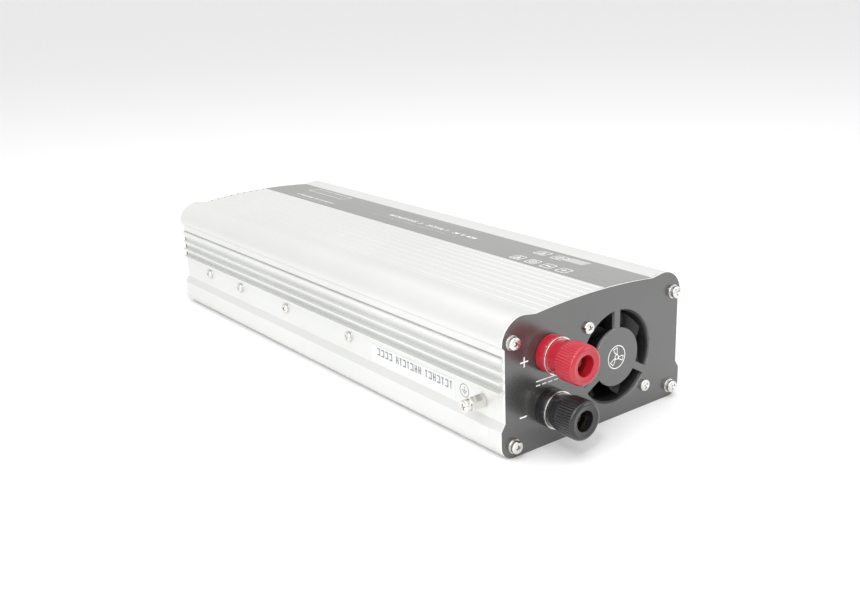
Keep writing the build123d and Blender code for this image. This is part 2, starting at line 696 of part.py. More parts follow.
def post(colour, z, lug_side):
    """One binding post. lug_side is the direction of the lug's barrel from the stud, in X and Z."""
    face = DC_OUT
    washer_back = face - COLLAR
    knob_back = washer_back - CLAMP_WASHER
    stud_fit = STUD_RADIUS + THREAD_CLEARANCE
    collar = ring(POST_X, z, POST_RADIUS, stud_fit, washer_back, face)
    collar += ring(POST_X, z, SPIGOT_RADIUS, stud_fit, face - MERGE, DC_IN)
    bush = ring(POST_X, z, BUSH_RADIUS, stud_fit, DC_IN, DC_IN + BUSH)
    stud = rod(POST_X, z, STUD_RADIUS, face - STUD_OUT, DC_IN + STUD_IN)
    stud -= rod(POST_X, z, BANANA_RADIUS, face - STUD_OUT, face - STUD_OUT + BANANA_DEPTH)
    clamp = ring(POST_X, z, POST_RADIUS, STUD_RADIUS + 2 * INSERT_CLEARANCE, knob_back, washer_back)
    insert_back = knob_back - INSERT_SETBACK
    insert = ring(POST_X, z, INSERT_RADIUS, STUD_RADIUS + INSERT_CLEARANCE,
                  insert_back - INSERT_LENGTH, insert_back)

    bx = POST_X + lug_side[0] * LUG_DROP
    bz = z + lug_side[1] * LUG_DROP
    lug_y0 = DC_IN + BUSH + POST_NUT
    eye = Pos(POST_X, z) * Circle(LUG_RADIUS)
    eye += (Pos((POST_X + bx) / 2, (z + bz) / 2)
            * Rectangle(LUG_RADIUS + abs(bx - POST_X), LUG_RADIUS + abs(bz - z)))
    eye += Pos(bx, bz) * Circle(LUG_BARREL_RADIUS)
    eye -= Pos(POST_X, z) * Circle(stud_fit)
    lug = prism(eye, lug_y0, lug_y0 + LUG)
    barrel_y1 = lug_y0 + LUG + LUG_BARREL
    lug += ring(bx, bz, LUG_BARREL_RADIUS, LEAD_RADIUS + LEAD_CLEARANCE,
                lug_y0 + LUG - MERGE / 2, barrel_y1)

    foot = BOARD_TOP + TERMINAL
    bend = bz - foot - LEAD_CLEARANCE
    corner_y = barrel_y1 + LEAD_STRAIGHT + bend
    route = [(bx, lug_y0 + LUG + LUG_BARREL_START, bz), (bx, corner_y, bz), (bx, corner_y, foot)]
    terminal = stand(bx, corner_y, TERMINAL_RADIUS, BOARD_TOP, foot)
    nuts, springs = [], []
    nut_shape = nut(POST_NUT_FLATS, stud_fit, POST_NUT)
    nuts.append(at_ac(POST_X, z, DC_IN + BUSH) * nut_shape)
    springs.append(at_ac(POST_X, z, lug_y0 + LUG)
                   * spring_washer(POST_SPRING_RADIUS, stud_fit, POST_SPRING))
    nuts.append(at_ac(POST_X, z, lug_y0 + LUG + POST_SPRING) * nut_shape)
    nodes = {
        colour + "_post_collar": collar, colour + "_post_stud": stud,
        colour + "_clamp_washer": clamp, colour + "_knob": knob_body(z), colour + "_knob_insert": insert,
        colour + "_dc_lead": lead(route, LEAD_RADIUS, bend * LEAD_BEND_SHARE),
    }
    shared = {"post_nuts": nuts, "post_spring_washers": springs, "post_bushes": [bush],
              "lead_lugs": [lug], "board_terminals": [terminal]}
    return nodes, shared


def posts():
    red, shared = post("red", POST_ZS[0], (-1, 0))
    black, more = post("black", POST_ZS[1], (0, 1))
    both = {name: group(parts + more[name]) for name, parts in shared.items()}
    return {**red, **black, **both}


# ---------------------------------------------------------------- board and what stands on it

def main_board():
    plate = block(-BOARD_X, BOARD_X, BOARD_Y0, BOARD_Y1, BOARD_Z, BOARD_TOP)
    pillars, screws = [], []
    hole = M3_RADIUS + THREAD_CLEARANCE
    for x in (-BOARD_X + BOARD_POST_INSET, BOARD_X - BOARD_POST_INSET):
        for y in (BOARD_Y0 + BOARD_POST_END, BOARD_MID_Y + BOARD_POST_MID, BOARD_Y1 - BOARD_POST_END):
            plate -= stand(x, y, hole, BOARD_Z, BOARD_TOP)
            pillars.append(stand(x, y, BOARD_POST_RADIUS, WALL, BOARD_Z)
                           - stand(x, y, hole, WALL, BOARD_Z))
            screws.append(Pos(x, y, BOARD_TOP)
                          * pan_screw(M3_RADIUS, BOARD_HEAD_RADIUS, BOARD_HEAD, BOARD_RISE - MERGE, False))
    return {"main_board": plate, "board_standoffs": group(pillars), "board_screws": group(screws)}


def transformers():
    cores, windings = [], []
    width, depth, height = CORE
    z0 = BOARD_TOP + WINDING_GAP
    for a in (-1, 1):
        for b in (-0.5, 0.5):
            x = a * (width + CORE_GAP) / 2
            y = CORE_ROW_Y + b * (depth + CORE_GAP)
            outer = block(x - width / 2, x + width / 2, y - depth / 2 + CORE_BACK, y + depth / 2 - CORE_BACK,
                          z0, z0 + height)
            window = block(x - width / 2 + CORE_LEG, x + width / 2 - CORE_LEG, y - depth, y + depth,
                           z0 + CORE_BACK, z0 + height - CORE_BACK)
            post_ = block(x - CORE_LEG / 2, x + CORE_LEG / 2, y - depth / 2 + CORE_BACK,
                          y + depth / 2 - CORE_BACK, z0, z0 + height)
            cores.append(outer - window + post_)
            coil = block(x - width / 2 + CORE_LEG + WINDING_GAP, x + width / 2 - CORE_LEG - WINDING_GAP,
                         y - depth / 2, y + depth / 2,
                         z0 + CORE_BACK + WINDING_GAP, z0 + height - CORE_BACK - WINDING_GAP)
            coil = fillet(coil.edges().filter_by(Axis.Z), WINDING_ROUND)
            hole = block(x - CORE_LEG / 2 - WINDING_GAP, x + CORE_LEG / 2 + WINDING_GAP,
                         y - depth / 2 + CORE_BACK - WINDING_GAP, y + depth / 2 - CORE_BACK + WINDING_GAP,
                         z0, z0 + height)
            windings.append(coil - hole)
    return {"transformer_cores": group(cores), "transformer_windings": group(windings)}


def can(x, y, radius, height):
    shape = stand(x, y, radius, BOARD_TOP, BOARD_TOP + height)
    return fillet(shape.edges().group_by(Axis.Z)[-1], CAN_ROUND)


def capacitors():
    start = -(INPUT_CAN_COUNT - 1) / 2
    small = [can((start + index) * INPUT_CAN_PITCH, INPUT_CAN_Y, *INPUT_CAN)
             for index in range(INPUT_CAN_COUNT)]
    large = [can(side * BULK_CAN_PITCH / 2, BULK_CAN_Y, *BULK_CAN) for side in (-1, 1)]
    return {"input_capacitors": group(small), "bulk_capacitors": group(large)}


def fuses():
    y = BOARD_Y0 + FUSE_FROM_END
    bodies, holders = [], []
    thick, wide, tall = FUSE
    for index in range(FUSE_COUNT):
        x = FUSE_X + index * FUSE_PITCH
        holders.append(block(x - thick / 2 - 1, x + thick / 2 + 1, y - wide / 2 - 1, y + wide / 2 + 1,
                             BOARD_TOP, BOARD_TOP + FUSE_BASE))
        z0 = BOARD_TOP + FUSE_BASE
        bodies.append(block(x - thick / 2, x + thick / 2, y - wide / 2, y + wide / 2, z0, z0 + tall - FUSE_BASE))
    return {"blade_fuses": group(bodies), "fuse_holders": group(holders)}


def control_board():
    width, height = CONTROL
    plate = block(-width / 2, width / 2, CONTROL_Y, CONTROL_Y + BOARD, BOARD_TOP, BOARD_TOP + height)
    chips = []
    for index in range(CHIP_COUNT):
        x = (index - (CHIP_COUNT - 1) / 2) * width / CHIP_COUNT
        z = BOARD_TOP + height * CHIP_ROWS[index % 2]
        chips.append(block(x - CHIP[0] / 2, x + CHIP[0] / 2, CONTROL_Y - CHIP[2], CONTROL_Y,
                           z - CHIP[1] / 2, z + CHIP[1] / 2))
    return {"control_board": group([plate] + chips)}


def output_choke():
    y = BOARD_Y1 - CHOKE_FROM_END
    top = BOARD_TOP + CHOKE_WIDTH
    return stand(CHOKE_X, y, CHOKE_RADIUS, BOARD_TOP, top) - stand(CHOKE_X, y, CHOKE_BORE, BOARD_TOP, top)


def transistors():
    """Transistors against both side walls, on pads, held by bars that the side screws pull in."""
    devices, bars, pads = [], [], []
    thick, wide, tall = DEVICE
    z0 = SIDE_SCREW_RISE - tall / 2
    pairs = (SIDE_SCREWS_Y[0:2], SIDE_SCREWS_Y[2:4])
    for side in (-1, 1):
        wall = side * WALL_IN
        face = wall - side * PAD
        back = face - side * thick
        for (y0, y1), count in zip(pairs, DEVICES_PER_BAR):
            ya, yb = y0 - BAR_OVERHANG, y1 + BAR_OVERHANG
            x_pair = sorted((back, back - side * BAR[0]))
            bar = block(*x_pair, ya, yb, SIDE_SCREW_RISE - BAR[1] / 2, SIDE_SCREW_RISE + BAR[1] / 2)
            pad = block(*sorted((wall, face)), ya, yb, SIDE_SCREW_RISE - PAD_HEIGHT / 2,
                        SIDE_SCREW_RISE + PAD_HEIGHT / 2)
            for y in (y0, y1):
                hole = Pos(wall, y, SIDE_SCREW_RISE) * Rot(0, 90, 0) * Cylinder(M4_RADIUS + THREAD_CLEARANCE,
                                                                              4 * (thick + BAR[0]))
                bar -= hole
                pad -= hole
            bars.append(bar)
            pads.append(pad)
            first = y0 + DEVICE_SCREW_GAP + wide / 2
            last = y1 - DEVICE_SCREW_GAP - wide / 2
            for index in range(count):
                y = first + (last - first) * index / (count - 1)
                device = block(*sorted((face, back)), y - wide / 2, y + wide / 2, z0, z0 + tall)
                middle = (face + back) / 2
                for step in (-1, 0, 1):
                    device += block(middle - LEG[0] / 2, middle + LEG[0] / 2,
                                    y + step * LEG_PITCH - LEG[1] / 2, y + step * LEG_PITCH + LEG[1] / 2,
                                    BOARD_TOP, z0 + MERGE)
                devices.append(device)
    return {"power_transistors": group(devices), "clamp_bars": group(bars), "insulating_pads": group(pads)}


# ---------------------------------------------------------------- AC end

def outlet(x):
    """Flange and round face outside the panel, body behind it, three sockets."""
    centre = Pos(x, OUTLET_RISE)
    shape = prism(centre * RectangleRounded(OUTLET_BODY, OUTLET_BODY, OUTLET_ROUND),
                  AC_OUT - OUTLET_DEPTH, AC_OUT)
    shape += prism(centre * RectangleRounded(OUTLET_FLANGE, OUTLET_FLANGE, OUTLET_ROUND), AC_OUT,
                   AC_OUT + OUTLET_FLANGE_THICK)
    front = AC_OUT + OUTLET_FLANGE_THICK + OUTLET_FACE
    shape += prism(centre * Circle(OUTLET_FACE_RADIUS), AC_OUT, front)
    for side in (-1, 1):
        pocket = Circle(PIN_RADIUS) + Rectangle(*reversed(PIN_SLOT))
        shape -= prism(Pos(x + side * PIN_SPAN, OUTLET_RISE + PIN_RAISE) * pocket, front - PIN_DEPTH, front)
    earth = Circle(PIN_RADIUS) + Pos(0, -PIN_RADIUS / 2) * Rectangle(2 * PIN_RADIUS, PIN_RADIUS)
    shape -= prism(Pos(x, OUTLET_RISE - PIN_SPAN) * earth, front - PIN_DEPTH, front)
    return shape


def outlets():
    nodes, contacts = {}, []
    back = AC_OUT - OUTLET_DEPTH
    for name, x in zip(("left", "right"), OUTLET_X):
        nodes["ac_outlet_" + name] = outlet(x)
        for cx, cz in ((-PIN_SPAN, PIN_RAISE), (PIN_SPAN, PIN_RAISE), (0, -PIN_SPAN)):
            contacts.append(block(x + cx - CONTACT[0] / 2, x + cx + CONTACT[0] / 2, back - CONTACT[2], back,
                                  OUTLET_RISE + cz - CONTACT[0] / 2, OUTLET_RISE + cz + CONTACT[0] / 2))
    for side in (-1, 1):
        z = SWITCH_RISE + side * BLADE_SPAN
        y1 = AC_OUT - SWITCH_DEPTH
        contacts.append(block(SWITCH_X - BLADE_TERMINAL[1] / 2, SWITCH_X + BLADE_TERMINAL[1] / 2,
                              y1 - BLADE_TERMINAL[2], y1,
                              z - BLADE_TERMINAL[0] / 2, z + BLADE_TERMINAL[0] / 2))
    nodes["ac_contacts"] = group(contacts)
    leads = []
    for x in OUTLET_X:
        for side in (-1, 1):
            lx = x + side * PIN_SPAN
            ly = BOARD_Y1 - AC_LEAD_BACK
            lz = OUTLET_RISE + PIN_RAISE
            route = [(lx, ly, BOARD_TOP), (lx, ly, lz), (lx, back - CONTACT[2], lz)]
            bend = min(AC_LEAD_BEND, AC_LEAD_BEND_SHARE * (back - CONTACT[2] - ly))
            leads.append(lead(route, AC_LEAD_RADIUS, bend))
    nodes["ac_leads"] = group(leads)
    return nodes


def rocker_switch():
    centre = Pos(SWITCH_X, SWITCH_RISE)
    front = AC_OUT + SWITCH_FLANGE_THICK
    pivot = front - ROCKER_PIVOT_DEPTH
    housing = prism(centre * Rectangle(*SWITCH_BODY), AC_OUT - SWITCH_DEPTH, AC_OUT)
    housing += prism(centre * RectangleRounded(*SWITCH_FLANGE, SWITCH_ROUND), AC_OUT, front)
    housing -= prism(centre * Rectangle(*SWITCH_OPENING), AC_OUT - SWITCH_DEPTH + SWITCH_FLOOR, front)
    socket = (Pos(SWITCH_X, pivot, SWITCH_RISE) * Rot(0, 90, 0)
              * Cylinder(ROCKER_PIN_RADIUS + ROCKER_PIN_CLEARANCE, SWITCH_BODY[0] - 2 * ROCKER_PIN_INSET))
    housing -= socket
    half = ROCKER[1] / 2
    # outline in (y, z) from the pivot: dished face outside, rounded heel inside
    (heel, narrow), (edge, full), (bottom, middle) = ROCKER_HEEL
    outline = [(heel, -half * narrow), (edge, -half * full), (ROCKER_CREST, -half),
               (ROCKER_CREST - ROCKER_DISH, 0), (ROCKER_CREST, half), (edge, half * full),
               (heel, half * narrow), (bottom, middle)]
    profile = make_face(Polyline(*outline, close=True))
    key = Plane(origin=(-ROCKER[0] / 2, 0, 0), x_dir=(0, 1, 0), z_dir=(1, 0, 0)) * profile
    key = extrude(key, amount=ROCKER[0])
    key += (Rot(0, 90, 0)
            * Cylinder(ROCKER_PIN_RADIUS, SWITCH_BODY[0] - 2 * (ROCKER_PIN_INSET + ROCKER_PIN_END)))
    key = Pos(SWITCH_X, pivot, SWITCH_RISE) * Rot(ROCKER_TILT_DEG, 0, 0) * key
    return {"switch_housing": housing, "power_rocker": key}


def usb_socket():
    centre = Pos(USB_X, USB_RISE)
    outer = [size + 2 * USB_SHELL for size in USB_MOUTH]
    front = AC_OUT + USB_PROUD
    shell = prism(centre * (Rectangle(*outer) - Rectangle(*USB_MOUTH)), AC_OUT - USB_DEPTH, front)
    shell += prism(centre * Rectangle(*outer), AC_OUT - USB_DEPTH, AC_OUT - USB_DEPTH + USB_SHELL)
    back = AC_OUT - USB_DEPTH + USB_SHELL
    tongue = prism(Pos(USB_X, USB_RISE + USB_TONGUE_RAISE) * Rectangle(*USB_TONGUE[:2]),
                   back, back + USB_TONGUE[2])
    return {"usb_socket": group([shell, tongue])}


def lamps():
    made = []
    for x, z in zip(LAMP_X, LAMP_RISE):
        lamp = rod(x, z, LAMP_RADIUS, AC_IN - LAMP_DEPTH, AC_OUT + LAMP_DOME)
        made.append(fillet(lamp.edges().group_by(Axis.Y)[-1], LAMP_DOME * 0.9))
    return group(made)


# ---------------------------------------------------------------- all nodes

def build():
    nodes = {
        "lower_case": lower_case(),
        "top_cover": top_cover(),
        "dc_end_panel": dc_end_panel(),
        "ac_end_panel": ac_end_panel(),
        "top_label": top_label(),
        "side_stickers": group([sticker(WALL_X, STICKER_SPAN, STICKER_RISE),
                                sticker(FOOT_X, TAG_SPAN, TAG_RISE)]),
        "side_screws": side_screws(),
        "output_choke": output_choke(),
        "indicator_lamps": lamps(),
        "small_nuts": small_nuts(),
    }
    for made in (corner_fasteners(), ground_terminal(), fan(), posts(), main_board(), transformers(),
                 capacitors(), fuses(), control_board(), transistors(), outlets(), rocker_switch(),
                 usb_socket()):
        nodes.update(made)
    return nodes


os.makedirs("parts", exist_ok=True)
for name, shape in build().items():
    export_step(shape, "parts/" + name + ".step")
    print(name, len(shape.solids()), round(shape.volume, 1))
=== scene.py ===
import json
import math

import bmesh
import bpy
from mathutils import Matrix, Vector
from mathutils.bvhtree import BVHTree


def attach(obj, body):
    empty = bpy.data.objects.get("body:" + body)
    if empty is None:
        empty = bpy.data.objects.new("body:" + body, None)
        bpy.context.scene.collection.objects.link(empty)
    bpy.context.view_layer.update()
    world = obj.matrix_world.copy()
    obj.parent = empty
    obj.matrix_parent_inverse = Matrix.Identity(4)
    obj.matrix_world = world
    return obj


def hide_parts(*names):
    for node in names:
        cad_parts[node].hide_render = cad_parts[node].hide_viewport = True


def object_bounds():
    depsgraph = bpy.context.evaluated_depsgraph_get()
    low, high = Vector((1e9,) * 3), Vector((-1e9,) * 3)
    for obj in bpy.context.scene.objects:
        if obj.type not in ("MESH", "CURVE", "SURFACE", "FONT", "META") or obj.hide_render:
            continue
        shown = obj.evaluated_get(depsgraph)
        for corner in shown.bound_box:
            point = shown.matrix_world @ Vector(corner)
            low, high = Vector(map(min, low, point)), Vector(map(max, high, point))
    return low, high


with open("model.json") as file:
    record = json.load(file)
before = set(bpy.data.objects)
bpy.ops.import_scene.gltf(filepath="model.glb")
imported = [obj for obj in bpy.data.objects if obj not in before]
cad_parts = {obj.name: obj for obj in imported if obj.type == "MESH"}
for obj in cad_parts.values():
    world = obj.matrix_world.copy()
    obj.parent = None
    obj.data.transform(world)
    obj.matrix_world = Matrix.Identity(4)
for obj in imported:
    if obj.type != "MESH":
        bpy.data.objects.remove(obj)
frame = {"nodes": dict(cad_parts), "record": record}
nodes = frame["nodes"]
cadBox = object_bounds()
mm = 0.001
print("frame loaded:", len(nodes), "nodes")

# camera, lights and floor

cameraSetup = {
    "place": (-0.4293, -0.6091, 0.2728),
    "turn": (71.742, 1.993, -37.730),   # degrees about X, Y and Z
    "lens": 44.33,
}
softLights = {
    # name: (place, aims at, width, height, watts)
    "overheadBank": ((-0.20, -0.15, 1.30), (0.0, 0.0, 0.05), 1.40, 1.40, 9.0),
    "leftBank": ((-1.30, -0.60, 0.70), (0.0, -0.05, 0.04), 0.90, 0.70, 6.0),
    "rightFill": ((0.95, -1.10, 0.55), (0.0, -0.15, 0.04), 0.70, 0.50, 2.0),
    "twinStripA": ((-0.62, -0.62, 0.78), (-0.038, -0.22, 0.04), 0.030, 0.10, 0.9),
    "twinStripB": ((-0.58, -0.67, 0.78), (-0.038, -0.22, 0.04), 0.030, 0.10, 0.9),
}
studio = {"floorRadius": 30.0, "rings": 12, "sides": 96, "floorTone": 0.86, "worldStrength": 0.93}


def aimAt(place, target):
    return (Vector(target) - Vector(place)).to_track_quat("-Z", "Y").to_euler()


def makeCamera():
    data = bpy.data.cameras.new("camera")
    data.lens = cameraSetup["lens"]
    data.clip_start, data.clip_end = 0.01, 100
    camera = bpy.data.objects.new("camera", data)
    camera.location = cameraSetup["place"]
    camera.rotation_euler = [math.radians(angle) for angle in cameraSetup["turn"]]
    bpy.context.scene.collection.objects.link(camera)
    bpy.context.scene.camera = camera


def makeLights():
    for name, (place, target, width, height, watts) in softLights.items():
        data = bpy.data.lights.new(name, "AREA")
        data.shape, data.size, data.size_y, data.energy = "RECTANGLE", width, height, watts
        light = bpy.data.objects.new(name, data)
        light.location = place
        light.rotation_euler = aimAt(place, target)
        bpy.context.scene.collection.objects.link(light)
    world = bpy.data.worlds.new("paleStudio")
    bpy.context.scene.world = world
    world.use_nodes = True
    world.node_tree.nodes["Background"].inputs["Strength"].default_value = studio["worldStrength"]
    world.node_tree.nodes["Background"].inputs["Color"].default_value = (1, 1, 1, 1)
    bpy.context.scene.view_settings.view_transform = "Standard"


# material kit: every finish is mixed from noise and waves in the object's own space

def startFinish(name, roughness, metallic=0.0, **sockets):
    material = bpy.data.materials.new(name)
    material.use_nodes = True
    tree = material.node_tree
    shader = tree.nodes["Principled BSDF"]
    shader.inputs["Roughness"].default_value = roughness
    shader.inputs["Metallic"].default_value = metallic
    for socket, value in sockets.items():
        shader.inputs[socket.replace("_", " ")].default_value = value
    return material


def shaderOf(material):
    return material.node_tree.nodes["Principled BSDF"]


def space(material, stretch=(1, 1, 1)):
    tree = material.node_tree
    where = tree.nodes.new("ShaderNodeTexCoord").outputs["Object"]
    mapping = tree.nodes.new("ShaderNodeMapping")
    mapping.inputs["Scale"].default_value = stretch
    tree.links.new(where, mapping.inputs["Vector"])
    return mapping.outputs["Vector"]


def noise(material, scale, detail=2.0, stretch=(1, 1, 1)):
    node = material.node_tree.nodes.new("ShaderNodeTexNoise")
    node.inputs["Scale"].default_value = scale
    node.inputs["Detail"].default_value = detail
    material.node_tree.links.new(space(material, stretch), node.inputs["Vector"])
    return node.outputs["Fac"]


def cells(material, scale, stretch=(1, 1, 1), feature="F1"):
    node = material.node_tree.nodes.new("ShaderNodeTexVoronoi")
    node.feature = feature
    node.inputs["Scale"].default_value = scale
    material.node_tree.links.new(space(material, stretch), node.inputs["Vector"])
    return node.outputs["Distance"]


def bands(material, scale, direction="X", distortion=0.0, kind="BANDS"):
    node = material.node_tree.nodes.new("ShaderNodeTexWave")
    node.wave_type = kind
    if kind == "BANDS":
        node.bands_direction = direction
    else:
        node.rings_direction = direction
    node.inputs["Scale"].default_value = scale
    node.inputs["Distortion"].default_value = distortion
    material.node_tree.links.new(space(material), node.inputs["Vector"])
    return node.outputs["Fac"]


def spread(material, value, low, high, start=0.0, end=1.0):
    node = material.node_tree.nodes.new("ShaderNodeMapRange")
    for socket, number in zip(("From Min", "From Max", "To Min", "To Max"), (start, end, low, high)):
        node.inputs[socket].default_value = number
    material.node_tree.links.new(value, node.inputs["Value"])
    return node.outputs["Result"]


def blendColours(material, share, first, second):
    node = material.node_tree.nodes.new("ShaderNodeMix")
    node.data_type = "RGBA"
    links = material.node_tree.links
    links.new(share, node.inputs["Factor"])
    for socket, colour in ((node.inputs[6], first), (node.inputs[7], second)):
        if isinstance(colour, tuple):
            socket.default_value = (*colour, 1)
        else:
            links.new(colour, socket)
    return node.outputs[2]


def setColour(material, colour):
    material.node_tree.links.new(colour, shaderOf(material).inputs["Base Color"])


def setRoughness(material, value):
    material.node_tree.links.new(value, shaderOf(material).inputs["Roughness"])


def addBump(material, height, depth, strength=1.0):
    # depth in metres; several bumps chain one into the next
    tree = material.node_tree
    node = tree.nodes.new("ShaderNodeBump")
    node.inputs["Distance"].default_value = depth
    node.inputs["Strength"].default_value = strength
    tree.links.new(height, node.inputs["Height"])
    normal = shaderOf(material).inputs["Normal"]
    if normal.links:
        tree.links.new(normal.links[0].from_socket, node.inputs["Normal"])
    tree.links.new(node.outputs["Normal"], normal)


def facing(material, axis):
    # how squarely the surface faces along an axis of the object, from 0 to 1
    tree = material.node_tree
    split = tree.nodes.new("ShaderNodeSeparateXYZ")
    tree.links.new(tree.nodes.new("ShaderNodeTexCoord").outputs["Normal"], split.inputs["Vector"])
    size = tree.nodes.new("ShaderNodeMath")
    size.operation = "ABSOLUTE"
    tree.links.new(split.outputs[axis], size.inputs[0])
    return size.outputs[0]


# finishes of metal

def caseAluminium():
    # satin anodised extrusion: fine blasted grain, faint die lines along the length
    material = startFinish("case_aluminium", 0.42, metallic=0.72)
    dieLines = noise(material, 1.0, 3.0, (900, 3, 900))
    cloud = noise(material, 9.0, 2.0)
    grain = noise(material, 2600, 2.0)
    tone = blendColours(material, spread(material, cloud, 0.0, 1.0, 0.35, 0.65),
                        (0.735, 0.742, 0.726), (0.765, 0.772, 0.757))
    setColour(material, blendColours(material, spread(material, grain, 0.0, 0.22), tone, (0.62, 0.625, 0.615)))
    setRoughness(material, spread(material, dieLines, 0.38, 0.50))
    addBump(material, dieLines, 0.000012)
    addBump(material, grain, 0.000010)
    return material


def panelGrey():
    # dark satin face, bare metal where the sheet was cut
    material = startFinish("panel_grey", 0.24, metallic=0.80)
    grain = noise(material, 3200, 2.0)
    cloud = noise(material, 26, 3.0)
    face = blendColours(material, cloud, (0.150, 0.152, 0.150), (0.172, 0.174, 0.171))
    painted = spread(material, facing(material, "Y"), 0.0, 1.0, 0.45, 0.55)
    setColour(material, blendColours(material, painted, (0.86, 0.86, 0.85), face))
    setRoughness(material, spread(material, grain, 0.20, 0.30))
    addBump(material, grain, 0.000006)
    addBump(material, noise(material, 120, 2.0), 0.00002)
    return material


def brightMetal(name, dark, light, low, high, metallic=1.0):
    # plated or turned metal: small tone drift and fine pitting
    material = startFinish(name, low, metallic=metallic)
    drift = noise(material, 420, 3.0)
    pits = noise(material, 2200, 3.0)
    setColour(material, blendColours(material, drift, dark, light))
    setRoughness(material, spread(material, pits, low, high))
    addBump(material, pits, 0.000012)
    addBump(material, drift, 0.000010)
    return material


def sawnBar():
    material = brightMetal("bar_aluminium", (0.60, 0.61, 0.62), (0.70, 0.71, 0.72), 0.35, 0.50)
    addBump(material, bands(material, 900, "Y", 1.5), 0.00004)
    return material


# finishes of plastic, rubber and film

def mouldedPlastic(name, dark, light, low, high, texture=0.00001, coat=0.0):
    material = startFinish(name, low, Coat_Weight=coat, Coat_Roughness=0.06)
    cloud = noise(material, 180, 3.0)
    skin = noise(material, 2600, 2.0)
    setColour(material, blendColours(material, cloud, dark, light))
    setRoughness(material, spread(material, skin, low, high))
    addBump(material, skin, texture)
    addBump(material, cloud, 0.00002)
    return material


def labelFilm():
    # brushed grey film with a satin face
    material = startFinish("label_grey", 0.34, metallic=0.35)
    strokes = noise(material, 1.0, 3.0, (1500, 25, 1500))
    cloud = noise(material, 14, 2.0)
    tone = blendColours(material, cloud, (0.265, 0.265, 0.255), (0.30, 0.30, 0.29))
    setColour(material, blendColours(material, spread(material, strokes, 0.0, 0.5), tone, (0.22, 0.22, 0.215)))
    setRoughness(material, spread(material, strokes, 0.30, 0.42))
    addBump(material, strokes, 0.000012)
    return material


def stickerFilm():
    material = startFinish("sticker", 0.48)
    grain = noise(material, 1800, 2.0)
    setColour(material, blendColours(material, noise(material, 60, 3.0), (0.66, 0.67, 0.665), (0.71, 0.715, 0.71)))
    setRoughness(material, spread(material, grain, 0.42, 0.55))
    addBump(material, grain, 0.00001)
    return material


def ink(name, dark, light, roughness=0.45):
    material = startFinish(name, roughness)
    grain = noise(material, 2400, 3.0)
    setColour(material, blendColours(material, grain, dark, light))
    setRoughness(material, spread(material, grain, roughness - 0.06, roughness + 0.1))
    addBump(material, grain, 0.00001)
    return material


def cableSleeve(name, dark, light):
    material = mouldedPlastic(name, dark, light, 0.42, 0.55, 0.00002)
    addBump(material, noise(material, 1.0, 2.0, (400, 60, 400)), 0.00005)
    return material


def thermalPad():
    material = mouldedPlastic("pad_grey", (0.33, 0.40, 0.44), (0.38, 0.45, 0.49), 0.6, 0.75, 0.00003)
    addBump(material, cells(material, 2400), 0.00003)
    return material


# finishes of the electrics inside

def circuitBoard():
    # green solder mask over copper runs, with small plated dots
    material = startFinish("board_green", 0.3)
    runs = spread(material, cells(material, 95, (1, 0.35, 1), "DISTANCE_TO_EDGE"), 0.0, 1.0, 0.02, 0.05)
    dots = spread(material, cells(material, 230), 1.0, 0.0, 0.10, 0.14)
    mask = blendColours(material, runs, (0.055, 0.34, 0.13), (0.022, 0.17, 0.07))
    setColour(material, blendColours(material, dots, mask, (0.62, 0.62, 0.60)))
    setRoughness(material, spread(material, noise(material, 900, 2.0), 0.25, 0.42))
    addBump(material, runs, 0.00003)
    return material


def woundCopper():
    material = startFinish("copper_wire", 0.28, metallic=0.9)
    # the same bands make the bump of the wire turns and a painted shade and highlight: painted shade in the grooves
    # between turns, painted highlight on their crests
    turnsAndShade = bands(material, 320, "Z", 0.6)
    setColour(material, blendColours(material, turnsAndShade, (0.26, 0.085, 0.03), (0.72, 0.33, 0.14)))
    setRoughness(material, spread(material, noise(material, 600, 2.0), 0.22, 0.4))
    addBump(material, turnsAndShade, 0.0003)
    return material


def ferriteCore():
    material = startFinish("ferrite", 0.62)
    grain = noise(material, 1500, 4.0)
    setColour(material, blendColours(material, grain, (0.045, 0.045, 0.05), (0.085, 0.085, 0.09)))
    setRoughness(material, spread(material, grain, 0.5, 0.75))
    addBump(material, grain, 0.00006)
    return material


def canSleeve():
    # dark blue shrink sleeve with a pale stripe band
    material = startFinish("can_sleeve", 0.25)
    stripe = spread(material, bands(material, 26, "X", 0.4), 0.0, 1.0, 0.93, 0.96)
    sleeve = blendColours(material, noise(material, 300, 2.0), (0.012, 0.022, 0.085), (0.02, 0.035, 0.12))
    setColour(material, blendColours(material, stripe, sleeve, (0.55, 0.58, 0.62)))
    setRoughness(material, spread(material, noise(material, 1200, 2.0), 0.18, 0.34))
    addBump(material, noise(material, 160, 2.0), 0.00005)
    return material


def lampLens(name, colour):
    material = startFinish(name, 0.08, Transmission_Weight=0.45, IOR=1.49, Coat_Weight=0.5)
    swirl = noise(material, 500, 2.0)
    setColour(material, blendColours(material, swirl, colour, tuple(0.7 * part for part in colour)))
    setRoughness(material, spread(material, swirl, 0.06, 0.16))
    addBump(material, cells(material, 1500), 0.00003)
    return material


